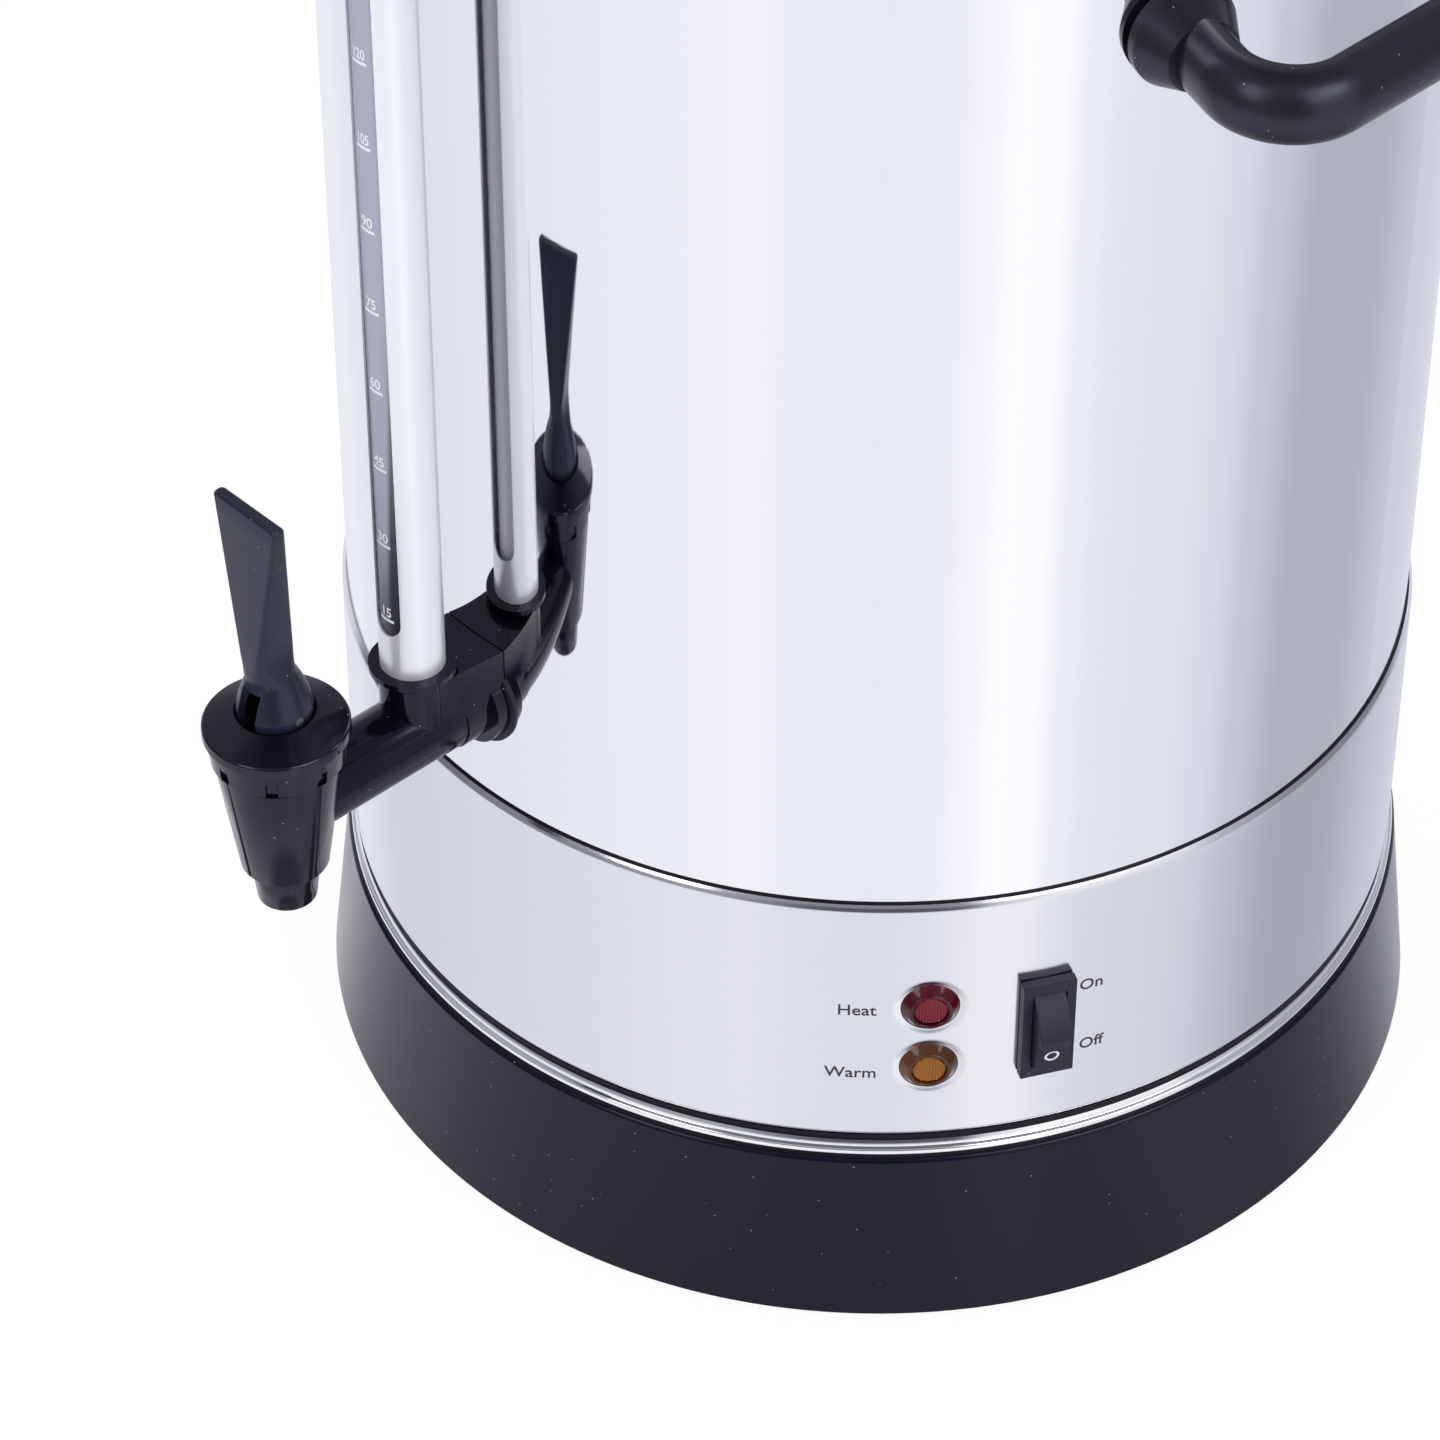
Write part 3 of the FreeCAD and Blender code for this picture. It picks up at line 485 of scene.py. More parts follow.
COOL_SHEEN = (0.78, 0.80, 1.0, 1.0)
DUST_COLOUR = (0.22, 0.22, 0.25)


def plastic(name, colour, roughness, grain, dust, gloss=0.5):
    """Moulded plastic or rubber with grain and a little dust."""
    material = finish(name, colour, 0.0, roughness, Specular_IOR_Level=gloss, Specular_Tint=COOL_SHEEN)
    skin = use_group(material, GRAIN, Scale=2500.0)
    bump(material, skin.outputs["Height"], grain, 0.00003)
    specks = use_group(material, DUST, Share=dust)
    two_tone(material, specks.outputs["Speck"], colour, DUST_COLOUR)
    return material


# %% The finishes themselves
tank_steel = steel("Tank steel", (0.90, 0.90, 0.92), 0.025, 5000.0, 0.03, 0.006)
band_steel = steel("Brushed band steel", (0.80, 0.80, 0.825), 0.15, 9000.0, 0.25, 0.04)
lid_steel = steel("Lid steel", (0.88, 0.88, 0.90), 0.12, 6000.0, 0.10, 0.02)
chrome = finish("Polished trim", (0.93, 0.93, 0.94), 1.0, 0.04)
zinc = steel("Zinc plate", (0.62, 0.63, 0.66), 0.35, 2000.0, 0.2, 0.05)
spring_wire = finish("Spring wire", (0.60, 0.60, 0.62), 1.0, 0.25)
guard_satin = steel("Satin guard tube", (0.97, 0.975, 1.0), 0.34, 7000.0, 0.10, 0.03, 0.50)
plate_aluminium = steel("Rolled aluminium", (0.72, 0.72, 0.73), 0.4, 3000.0, 0.3, 0.05)
element_metal = steel("Heat tinted sheath", (0.40, 0.38, 0.36), 0.4, 1500.0, 0.3, 0.08)
skirt_plastic = plastic("Satin black base", (0.004, 0.004, 0.012), 0.18, 0.06, 0.003, 0.235)
tap_plastic = plastic("Gloss black tap", (0.004, 0.004, 0.008), 0.12, 0.05, 0.004, 0.50)
arm_plastic = plastic("Gloss black arm", (0.004, 0.004, 0.008), 0.12, 0.05, 0.004, 0.34)
lever_plastic = plastic("Satin black lever", (0.015, 0.016, 0.033), 0.30, 0.10, 0.004, 0.45)
switch_plastic = plastic("Switch black", (0.016, 0.016, 0.024), 0.42, 0.15, 0.010, 0.35)
knob_plastic = plastic("Handle black", (0.012, 0.012, 0.014), 0.30, 0.25, 0.008)
rubber = plastic("Black rubber", (0.02, 0.02, 0.02), 0.6, 0.5, 0.01)
# Black for the beads in the joints: painted shade for the deep gaps.
gap_shade_black = plastic("Dark sealant", (0.004, 0.004, 0.005), 0.5, 0.3, 0.0, 0.25)
silicone = plastic("Seal silicone", (0.60, 0.58, 0.54), 0.55, 0.3, 0.0)
nylon = plastic("White nylon", (0.78, 0.78, 0.75), 0.4, 0.2, 0.0)
ceramic = plastic("White ceramic", (0.83, 0.82, 0.78), 0.55, 0.3, 0.0)
white_print = finish("White print", (0.85, 0.86, 0.88), 0.0, 0.45)
dark_print = finish("Dark print", (0.03, 0.03, 0.035), 0.0, 0.5)
print(len(bpy.data.materials), "materials so far")


# %% Clear and tinted finishes
def lens_finish(name, colour, deep):
    """Tinted lamp plastic over a pale reflector, a little clear, its tone varying at random towards a deeper
    one.
    """
    material = finish(name, colour, 0.0, 0.10, Transmission_Weight=0.15, IOR=1.49, Specular_IOR_Level=0.35)
    skin = use_group(material, GRAIN, Scale=900.0)
    two_tone(material, skin.outputs["Tone"], colour, deep)
    return material


# The waffle copies are much lighter than the ring: painted light, the pale reflector's light coming back
# through the thin grid.
red_lens = lens_finish("Red lens", (0.095, 0.003, 0.012), (0.06, 0.002, 0.009))
red_waffle_painted_light = lens_finish("Red lens waffle painted light", (0.32, 0.035, 0.055), (0.25, 0.022, 0.040))
amber_lens = lens_finish("Amber lens", (0.13, 0.045, 0.010), (0.085, 0.028, 0.008))
amber_waffle_painted_light = lens_finish("Amber lens waffle painted light", (0.50, 0.19, 0.030), (0.40, 0.15, 0.022))


def make_strip_painted_light():
    """Scale strip with painted light: painted shade, darkest at its foot and lighter higher up, and a painted
    highlight, an upright pale streak that drifts to the right higher up.
    """
    material = finish("Scale strip painted shade and highlight", (0.1, 0.1, 0.1), 0.0, 0.25, Specular_IOR_Level=0.25)
    tree = material.node_tree
    x, _, z = split(tree, own_place(tree))
    drift = times(tree, math_node(tree, "SUBTRACT", z, 0.215), 0.045)
    rise = span(tree, x, -0.0046, -0.0008)
    fall = span(tree, math_node(tree, "SUBTRACT", x, drift), 0.0, 0.0022, 1.0, 0.0)
    # Painted highlight: a pale upright band that drifts to the right higher up.
    streak = times(tree, rise, fall, span(tree, z, 0.203, 0.245))
    # Painted shade at the foot, turning into painted light higher up.
    painted_light_upward = times(tree, span(tree, z, 0.195, 0.360), 0.90)
    level = math_node(tree, "MAXIMUM", streak, painted_light_upward)
    two_tone(material, level, (0.030, 0.030, 0.042), (0.40, 0.42, 0.52))
    return material


strip_painted_light = make_strip_painted_light()
sight_glass_finish = finish("Sight glass", (0.93, 0.94, 0.97), 0.0, 0.05, Transmission_Weight=0.15, IOR=1.47)
print("lens and glass finishes made")


# %% Dress the solid pieces that stay as they are
def dress(obj, material):
    """Give a piece one material."""
    obj.data.materials.clear()
    obj.data.materials.append(material)


slot_finish = {
    "skirt_black": skirt_plastic, "tap_black": tap_plastic, "switch_black": switch_plastic,
    "knob_black": knob_plastic, "tank_steel": tank_steel, "band_steel": band_steel, "lid_steel": lid_steel,
    "trim_chrome": chrome, "plate_steel": zinc, "fastener_steel": zinc, "spring_steel": spring_wire,
    "gauge_aluminium": guard_satin, "heater_aluminium": plate_aluminium, "element_steel": element_metal,
    "gauge_glass": sight_glass_finish, "red_lens": red_lens, "amber_lens": amber_lens,
    "black_rubber": rubber, "seal_silicone": silicone, "white_ceramic": ceramic, "nylon_white": nylon,
}
slot_of = {entry["node"]: entry["material_slot"] for entry in frame["record"]["subparts"]}
for name, obj in nodes.items():
    dress(obj, slot_finish[slot_of[name]])
print("dressed", len(nodes), "solid pieces")

# %% [markdown]
# ## The drum
# The tank is a rolled and welded steel cylinder with its rim curled inward. Its mirror-like wall shows
# every dent in a mesh, so it is spun in 256 steps from a clean profile, with rows of faces that keep the
# holes' cuts small.


# %% Tank shell
SHANK_HOLE_R = 8.2
SCREW_HOLE_R = 2.2
LAMP_HOLE_R = 9.8
BOLT_HOLE_R = 2.7
ROLL_R = 2.8


def make_tank():
    inner = TANK_R - 0.8
    c = inner + ROLL_R
    rows = [57.2, 142.0, 163.0, 182.0, 230.0, 290.0, 350.0, 386.0, 398.0, 432.0, 442.0, RIM_Z]
    points = [(TANK_R, z) for z in rows]
    points += [(c, RIM_Z + 2.0, 1), (c + 2.0, RIM_Z), (c + 1.414, RIM_Z - 1.414, 1), (c, RIM_Z - 2.0)]
    points += [(c, RIM_Z - ROLL_R), (c + 1.98, RIM_Z - 1.98, 1), (c + ROLL_R, RIM_Z)]
    points += [(c, RIM_Z + ROLL_R, 1), (inner, RIM_Z)]
    points += [(inner, z) for z in reversed(rows[:-1])]
    tank = turned("tank_shell", points, WALL_STEPS)
    cuts = [stand(drum(SHANK_HOLE_R, -8, 8), 0, TANK_R, ARM_Z)]
    cuts.append(stand(drum(SCREW_HOLE_R, -8, 8), 0, TANK_R, TOP_SCREW_Z))
    for height in LAMP_HEIGHTS:
        cuts.append(stand(drum(LAMP_HOLE_R, -8, 8), LAMP_AZ, TANK_R, height))
    cuts.append(stand(brick(-6.6, 6.6, -15.1, 15.1, -8, 8), SWITCH_AZ, TANK_R, SWITCH_Z))
    for azimuth in HANDLE_BOLTS:
        cuts.append(stand(drum(BOLT_HOLE_R, -8, 8, 32), azimuth, TANK_R, HANDLE_Z))
    return smooth(combine(tank, cuts))


tank_shell = make_tank()
dress(tank_shell, tank_steel)
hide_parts("tank_wall")
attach(tank_shell, "urn_body")
print("tank shell has", len(tank_shell.data.polygons), "faces")

# %% [markdown]
# ## The return spring
# In the tap the spring shortens as the stem rises, between the cap's partition and the stem's collar; here it
# is one fixed coil at rest.


# %% Return spring
SPRING_WIRE_R = 0.5
SPRING_R = 4.0
SPRING_TURNS = 4.5
SPRING_STEPS = 144
SPRING_GAP = 0.03
COLLAR_TOP = 190.0 - TAP_DROP
PARTITION_LOW = 199.7 - TAP_DROP


def make_spring():
    """Coil of round wire, swept by a screw modifier, with its cut ends closed."""
    clear_selection()
    low = COLLAR_TOP + SPRING_WIRE_R + SPRING_GAP
    high = PARTITION_LOW - SPRING_WIRE_R - SPRING_GAP
    bpy.ops.mesh.primitive_circle_add(vertices=16, radius=SPRING_WIRE_R * MM)
    spring = put(bpy.context.object, (90, 0, 0), (SPRING_R, 0, 0))
    spring.name = "return_spring"
    coil = spring.modifiers.new("Coil", "SCREW")
    coil.angle = 2 * math.pi * SPRING_TURNS
    coil.screw_offset = (high - low) * MM
    coil.steps = SPRING_STEPS
    coil.render_steps = SPRING_STEPS
    bpy.ops.object.modifier_apply(modifier=coil.name)
    bpy.ops.object.mode_set(mode="EDIT")
    bpy.ops.mesh.select_all(action="DESELECT")
    bpy.ops.mesh.select_non_manifold(extend=False)
    bpy.ops.mesh.edge_face_add()
    face_outward()
    bpy.ops.object.mode_set(mode="OBJECT")
    return smooth(put(spring, (0, 0, 0), (0, TAP_Y, low)))


return_spring = make_spring()
dress(return_spring, spring_wire)
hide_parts("valve_spring")
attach(return_spring, "urn_body")
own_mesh(return_spring)
print("return spring has", len(return_spring.data.polygons), "faces")

# %% [markdown]
# ## The control band
# A second sheet is wrapped round the drum's foot, its edges curled in. A press pushes a shallow dish
# round each pilot lamp. The dishes are made the same way here: the sheet gets a dense field of faces, a
# disc of it is pushed inward, and only then are the round holes cut.


# %% Band sheet
LAMP_SECTOR = 15.0
LAMP_SECTOR_STEPS = 75


def make_band():
    """Sheet round the drum; its faces are 0.5 mm high and 0.5 mm wide in the sector of the lamps."""
    rows = [63.5, 66.0, 71.0]
    rows += [72.0 + 0.5 * i for i in range(93)]
    rows += [119.0, 124.0, 130.0, 135.0, 138.0]
    points = [(141.75, 60.1), (142.5, 60.75, 1), (BAND_R, 62.1)]
    points += [(BAND_R, z) for z in rows]
    points += [(142.68, 138.84, 1), (142.33, 139.65), (142.03, 140.15), (141.78, 140.6)]
    band = trace("band_shell", outline(points, 7, False))
    bpy.ops.mesh.select_all(action="SELECT")
    spin_wire(band, LAMP_SECTOR_STEPS, 0.0, LAMP_SECTOR, False)
    spin_wire(band, 276, 0.0, 360.0 - LAMP_SECTOR)
    return put(band, (0, 0, LAMP_AZ + LAMP_SECTOR / 2 - 90.0), (0, 0, 0))


DISH_R = 9.7
DISH_FLOOR_R = 7.3
DISH_DEPTH = 0.34


def press_dish(sheet, azimuth, height):
    """Push the sheet in round one lamp, with a slope that starts and ends softly."""
    a = math.radians(azimuth)
    out = Vector((math.sin(a), -math.cos(a), 0))
    centre = out * (BAND_R * MM) + Vector((0, 0, height * MM))
    for vertex in sheet.data.vertices:
        offset = vertex.co - centre
        reach = (offset - out * offset.dot(out)).length / MM
        if offset.length > 20 * MM or reach > DISH_R:
            continue
        t = min((DISH_R - reach) / (DISH_R - DISH_FLOOR_R), 1.0)
        vertex.co -= out * (DISH_DEPTH * MM * t * t * (3 - 2 * t))


band_shell = make_band()
for lamp_height in LAMP_HEIGHTS:
    press_dish(band_shell, LAMP_AZ, lamp_height)
print("band sheet", len(band_shell.data.polygons), "faces")


# %% Give the band its thickness and cut it
SHEET = 0.7


def finish_band(band):
    only(band)
    mod = band.modifiers.new("Sheet", "SOLIDIFY")
    mod.thickness = SHEET * MM
    mod.offset = -1.0
    bpy.ops.object.modifier_apply(modifier=mod.name)
    cuts = [stand(drum(7.6, -8, 4, 96), LAMP_AZ, BAND_R, height) for height in LAMP_HEIGHTS]
    cuts.append(stand(brick(-6.4, 6.4, -14.9, 14.9, -8, 4), SWITCH_AZ, BAND_R, SWITCH_Z))
    return smooth(combine(band, cuts), 40)


band_shell = finish_band(band_shell)
dress(band_shell, band_steel)
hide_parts("control_band")
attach(band_shell, "urn_body")
print("control band has", len(band_shell.data.polygons), "faces")

# %% [markdown]
# ## Base and trim ring
# The base is an injection moulding with a slight flare, the ring above it a polished channel. Both are
# turned shapes with small radii at their edges, which catch the thin light lines seen on the real one.


# %% Base skirt
BOSS_RING_R = 138.5
GLAND_Z = 28.0
skirt = turned("skirt_shell", [
    (150.5, 1.5), (144.87, 51.4), (144.45, 52.8, 1), (143.3, 53.4), (136.0, 53.4), (136.0, 50.9),
    (142.2, 50.9), (147.9, 1.5),
], 192, arc_steps=10)
bosses = []
for corner in (45, 135, 225, 315):
    a = math.radians(corner)
    boss = drum(4.5, 7.2, 51.5, 32)
    boss.location += Vector((BOSS_RING_R * math.cos(a) * MM, BOSS_RING_R * math.sin(a) * MM, 0))
    settle(boss)
    bosses.append(smooth(boss))
combine(skirt, [stand(drum(12.0, 0.0, 6.4), 180, 143.0, GLAND_Z)], "UNION")
combine(skirt, [stand(drum(7.5, -10, 10), 180, 149.4, GLAND_Z)])
round_edges(skirt, 0.35, 2, 40)
skirt = join([skirt] + bosses, "skirt_shell")
dress(skirt, skirt_plastic)
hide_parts("base_skirt")
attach(skirt, "urn_body")
print("skirt has", len(skirt.data.polygons), "faces")

# %% Trim ring
trim = turned("trim_shell", [
    (142.9, 53.4), (142.9, 54.1), (143.7, 54.3), (143.94, 54.5, 1), (144.0, 54.8), (143.97, 55.6),
    (143.8, 56.0, 1), (143.3, 56.2), (143.1, 56.3), (142.97, 57.3, 1), (142.68, 58.35), (141.5, 58.35),
    (141.5, 57.2), (136.5, 57.2), (136.5, 56.2), (141.3, 56.2), (142.0, 54.6), (142.1, 53.4),
], WALL_STEPS, arc_steps=10)
smooth(trim, 24)
dress(trim, chrome)
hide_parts("trim_ring")
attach(trim, "urn_body")
print("trim ring made")

# %% [markdown]
# ## Dark beads in the joints
# Thin dark beads fill the joints over and under the band and under the ring; their black is painted shade for
# the deep gaps there. The upper one is pressed deep where the band fits close, left of the tap, so it doesn't
# show there.


# %% Dark beads of painted shade
DEEP_FROM = -78.0
DEEP_TO = -6.0
DEEP = 1.5


def ease(value, reach):
    """Share from 0 to 1 of a value over a reach."""
    return min(max(value / reach, 0.0), 1.0)


# Dark beads in the joints, standing for the shade in the gaps: painted shade.
beads = [turned(name, points, WALL_STEPS) for name, points in (
    ("upper_bead", [(141.3, 140.1), (141.95, 140.3), (141.85, 140.7), (141.4, 141.1), (141.3, 141.1)]),
    ("lower_bead", [(141.45, 58.35), (142.3, 58.4), (142.35, 60.1), (141.45, 60.2)]),
    ("ring_bead", [(142.95, 53.42), (144.2, 53.35), (144.1, 53.85), (143.75, 54.2), (142.95, 54.1)]))]
for vertex in beads[0].data.vertices:
    around = math.degrees(math.atan2(vertex.co.x, -vertex.co.y))
    vertex.co.z -= DEEP * ease(around - DEEP_FROM, 12.0) * ease(DEEP_TO - around, 10.0) * MM
bead = join(beads, "painted_shade_beads")
smooth(bead)
dress(bead, gap_shade_black)
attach(bead, "urn_body")

# %% [markdown]
# ## Sight gauge
# A glass tube stands in the tap's arm and shows the water level. An aluminium guard tube with a long slot
# in front and one behind protects it. The marks are printed on a dark strip between the glass and the front
# slot; the strip's colour is painted shade, darkest at its foot, with a painted highlight.


# %% Guard tube
SLOT_HALF = 4.4
SLOT_LOW = 210.8 - TAP_DROP
SLOT_HIGH = 436.0 - TAP_DROP


def make_guard():
    ring = [(8.2, 190.0), (8.2, 449.0), (7.6, 449.0), (7.6, 190.0)]
    tube = turned("guard_tube", ring, 96, GAUGE_Y, TAP_DROP)
    ends = (SLOT_LOW + SLOT_HALF, SLOT_HIGH - SLOT_HALF)
    slot = brick(-SLOT_HALF, SLOT_HALF, GAUGE_Y - 12, GAUGE_Y + 12, *ends)
    combine(slot, [put(drum(SLOT_HALF, -12, 12, 48), (90, 0, 0), (0, GAUGE_Y, z)) for z in ends], "UNION")
    return round_edges(combine(tube, [slot]), 0.15, 2, 40)


guard_tube = make_guard()
dress(guard_tube, guard_satin)
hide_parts("gauge_tube")
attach(guard_tube, "urn_body")
print("guard tube has", len(guard_tube.data.polygons), "faces")


# %% Sight glass and its printed marks
def wrap(obj, azimuth, radius, height, y=0.0):
    """Wrap a flat piece (X right, Y up, Z thickness) round an upright cylinder."""
    for vertex in obj.data.vertices:
        x, up, out = vertex.co
        a = math.radians(azimuth) + x / (radius * MM)
        r = radius * MM + out
        vertex.co = (math.sin(a) * r, y * MM - math.cos(a) * r, height * MM + up)
    return obj


def lettering(text, size, name, width=1.0, weight=0.0):
    """Printed word as a thin mesh, centred on the origin."""
    clear_selection()
    bpy.ops.object.text_add()
    obj = bpy.context.object
    obj.name = name
    obj.data.body = text
    obj.data.size = size * MM
    obj.data.align_x = "CENTER"
    obj.data.align_y = "CENTER"
    obj.data.extrude = 0.015 * MM
    obj.data.resolution_u = 3
    obj.data.offset = weight * MM
    obj.scale = (width, 1, 1)
    bpy.ops.object.convert(target="MESH")
    settle(obj)
    return obj


FIRST_MARK_Z = 215.5 - TAP_DROP
MARK_STEP = 23.32
MARK_CUPS = 15
PRINT_R = 7.58


def make_marks():
    marks = []
    for i in range(10):
        z = FIRST_MARK_Z + MARK_STEP * i
        bar = brick(-2.35, 2.35, -0.42, 0.42, -0.015, 0.015)
        only(bar)
        bpy.ops.object.mode_set(mode="EDIT")
        bpy.ops.mesh.select_all(action="SELECT")
        bpy.ops.mesh.subdivide(number_cuts=7)
        bpy.ops.object.mode_set(mode="OBJECT")
        marks.append(wrap(bar, SCALE_AZ, PRINT_R, z, GAUGE_Y))
        text = str(MARK_CUPS * (i + 1))
        number = lettering(text, 4.0, "number", 0.92 if len(text) < 3 else 0.68, 0.07)
        marks.append(wrap(number, SCALE_AZ, PRINT_R, z + 2.3, GAUGE_Y))
    return join(marks, "gauge_marks")


def make_scale_strip():
    """Dark strip behind the front slot that the marks are printed on, a quarter of a thin tube; its colour is
    painted shade and a painted highlight.
    """
    corners = [(7.44, 206.0), (7.44, 442.0), (7.56, 442.0), (7.56, 206.0), (7.44, 206.0)]
    strip = trace("scale_strip", corners, GAUGE_Y, TAP_DROP)
    merge_doubles()
    bpy.ops.mesh.edge_face_add()
    spin_wire(strip, 24, GAUGE_Y, 90.0)
    put(strip, (0, 0, 0), (0, -GAUGE_Y, 0))
    return smooth(put(strip, (0, 0, -45.0), (0, GAUGE_Y, 0)))


glass_ring = [(5.9, 186.0), (5.9, 446.0), (4.7, 446.0), (4.7, 186.0)]
glass = turned("sight_glass", glass_ring, 64, GAUGE_Y, TAP_DROP)
smooth(glass)
dress(glass, sight_glass_finish)
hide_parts("gauge_glass")
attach(glass, "urn_body")
scale_strip = make_scale_strip()
dress(scale_strip, strip_painted_light)
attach(scale_strip, "urn_body")
gauge_marks = make_marks()
dress(gauge_marks, white_print)
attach(gauge_marks, "urn_body")
print("marks have", len(gauge_marks.data.polygons), "faces")

# %% [markdown]
# ## The tap
# Body and cap are turned-looking mouldings that snap together: eight tabs sit in eight windows. The arm
# carries the gauge's socket and ends in a flange on the tank. All edges get a small radius, as a mould
# leaves it, because a glossy black piece is seen mostly by the light lines on its edges.


# %% Tap body
def spokes(x0, x1, half, z0, z1):
    """Eight boxes set like spokes round the tap's axis."""
    size = (x0, x1, -half, half, z0 - TAP_DROP, z1 - TAP_DROP)
    return [put(brick(*size), (0, 0, 45.0 * i), (0, TAP_Y, 0)) for i in range(8)]


def make_tap_body():
    body = turned("tap_body_shell", [
        (5.9, 148.0), (7.1, 148.0), (7.4, 148.3), (8.8, 159.2), (10.6, 159.2), (11.05, 159.8), (15.75, 192.9),
        (14.8, 193.2), (14.8, 198.6), (14.4, 199.0), (13.2, 199.0), (13.2, 185.0), (10.4, 185.0),
        (8.4, 161.5), (8.0, 160.2), (6.6, 160.2), (6.2, 161.0), (5.0, 161.0), (5.0, 159.4), (6.4, 157.8),
    ], 128, TAP_Y, TAP_DROP)
    side = [(10.75, 158.0), (20, 158.0), (20, 193.4), (15.62, 193.4), (10.65, 159.7), (10.75, 158.0)]
    grooves = [plate("groove", side, 1.2, TAP_DROP) for _ in range(4)]
    combine(body, [put(groove, (0, 0, 90.0 * i), (0, TAP_Y, 0)) for i, groove in enumerate(grooves)])
    combine(body, spokes(14.5, 15.6, 1.2, 195.0, 197.0), "UNION")
    return round_edges(body, 0.16, 2, 40)


tap_body = make_tap_body()
dress(tap_body, tap_plastic)
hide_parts("tap_body")
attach(tap_body, "urn_body")
print("tap body has", len(tap_body.data.polygons), "faces")


# %% Tap cap
def make_tap_cap():
    cap = turned("tap_cap_shell", [
        (15.0, 193.5), (16.2, 193.5), (16.55, 193.8), (17.4, 201.5), (18.2, 201.5), (18.2, 203.7),
        (17.9, 204.35, 1), (17.2, 204.6), (10.6, 208.1), (10.1, 208.1), (10.1, 203.2), (2.58, 203.2),
        (2.58, 199.7), (10.8, 199.7), (10.8, 187.0), (13.0, 187.0), (13.0, 199.7), (15.0, 199.7),
    ], 128, TAP_Y, TAP_DROP)
    combine(cap, spokes(13.4, 20.0, 1.5, 192.4, 197.9))
    return round_edges(cap, 0.16, 2, 40)


tap_cap = make_tap_cap()
dress(tap_cap, tap_plastic)
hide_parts("tap_cap")
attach(tap_cap, "urn_body")
print("tap cap has", len(tap_cap.data.polygons), "faces")


# %% Tap arm
def lying_drum(radius, y0, y1):
    """Cylinder on the arm's axis between two Y values."""
    half = (y1 - y0) / 2
    return put(drum(radius, -half, half, 96), (90, 0, 0), (0, (y0 + y1) / 2, ARM_Z))


def upright(radius, z0, z1, y, sides=96):
    """Cylinder on an upright axis at (0, y), heights before the drop."""
    piece = drum(radius, z0 - TAP_DROP, z1 - TAP_DROP, sides)
    piece.location.y = y * MM
    settle(piece)
    return piece


SEAT_HALF = 10.9
SEAT_BACK_HALF = 8.75


def make_arm():
    arm = lying_drum(9.9, TAP_Y + 8.0, -149.0)
    cup = [(0, 176.4), (8.7, 176.4), (8.7, 194.4), (11.1, 196.8), (11.1, 198.2), (0, 198.2)]
    socket = turned("socket", cup, 96, GAUGE_Y, TAP_DROP, closed=False)
    seat = brick(-SEAT_HALF, SEAT_HALF, GAUGE_Y + 1.0, -136.0, ARM_Z, 195.2 - TAP_DROP)
    for vertex in seat.data.vertices:
        if vertex.co.y < -150.0 * MM:
            vertex.co.x *= SEAT_BACK_HALF / SEAT_HALF
    combine(seat, [lying_drum(12.7, -145.3, -136.0)], "UNION")
    combine(seat, [drum(TANK_R + 0.2, 150.0, 200.0, WALL_STEPS)])
    added = [lying_drum(10.3, -152.8, -145.0), socket, seat, lying_drum(8.0, -144.0, -118.0)]
    combine(arm, added, "UNION")
    bowl = [(0, 159.8), (11.0, 159.8), (15.9, 193.2), (0, 193.2)]
    cuts = [turned("cone", bowl, 96, TAP_Y, TAP_DROP, closed=False), lying_drum(5.5, TAP_Y, -110.0)]
    cuts += [upright(4.0, 176.4, 190.0, GAUGE_Y), upright(8.25, 184.0, 200.0, GAUGE_Y)]
    return round_edges(combine(arm, cuts), 0.3, 3, 40)


tap_arm = make_arm()
tap_arm.name = "tap_arm_shell"
dress(tap_arm, arm_plastic)
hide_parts("tap_arm")
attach(tap_arm, "urn_body")
print("arm has", len(tap_arm.data.polygons), "faces")


# %% [markdown]
# ## The lever
# The lever is one moulding: a wide thin paddle, a deep narrow neck and a hollow bell that rolls in the
# cap's well. It is built like a loft: one ring of 36 vertices is extruded upward, and each new ring is
# reshaped to the section at its height.


# %% Lever sections
def section(width, depth, corner, y, z):
    """Rounded rectangle of 36 points at a height."""
    corner = min(corner, width / 2 - 0.02, depth / 2 - 0.02)
    points = []
    for sx, sy, start in ((1, -1, -90), (1, 1, 0), (-1, 1, 90), (-1, -1, 180)):
        cx = sx * (width / 2 - corner)
        cy = y + sy * (depth / 2 - corner)
        for i in range(9):
            t = math.radians(start + 90 * i / 8)
            points.append(Vector(((cx + corner * math.cos(t)) * MM, (cy + corner * math.sin(t)) * MM,
                                  (z - TAP_DROP) * MM)))
    return points


LEVER_TOP = 271.7
LEVER_LEAN = 3.3


def lever_line(z):
    """Y of the leaning paddle's middle at a height."""
    return TAP_Y - (z - 205.0) * math.tan(math.radians(LEVER_LEAN))


def lever_sections():
    neck = LEVER_TOP - 44.0
    rings = [section(2 * r, 2 * r, r, TAP_Y, z) for r, z in (
        (8.08, 204.5), (8.7, 206.0), (9.25, 207.8), (9.5, 209.5), (9.43, 210.6), (8.72, 213.0),
        (7.85, 216.0))]
    rings.append(section(13.1, 13.1, 6.5, TAP_Y, 218.8))
    rings.append(section(10.8, 12.3, 4.9, lever_line(221.0), 221.0))
    rings.append(section(9.1, 12.0, 3.4, lever_line(223.4), 223.4))
    rings.append(section(7.8, 11.7, 2.0, lever_line(225.6), 225.6))
    rings.append(section(7.2, 11.5, 1.1, lever_line(neck), neck))
    for i in range(1, 9):
        t = i / 8
        z = neck + 43.2 * t
        rings.append(section(7.2 + 15.5 * t, 11.5 - 8.15 * t, 1.1 - 0.2 * t, lever_line(z), z))
    rings.append(section(22.6, 3.1, 1.1, lever_line(LEVER_TOP - 0.35), LEVER_TOP - 0.35))
    rings.append(section(22.0, 2.4, 0.9, lever_line(LEVER_TOP), LEVER_TOP))
    return rings


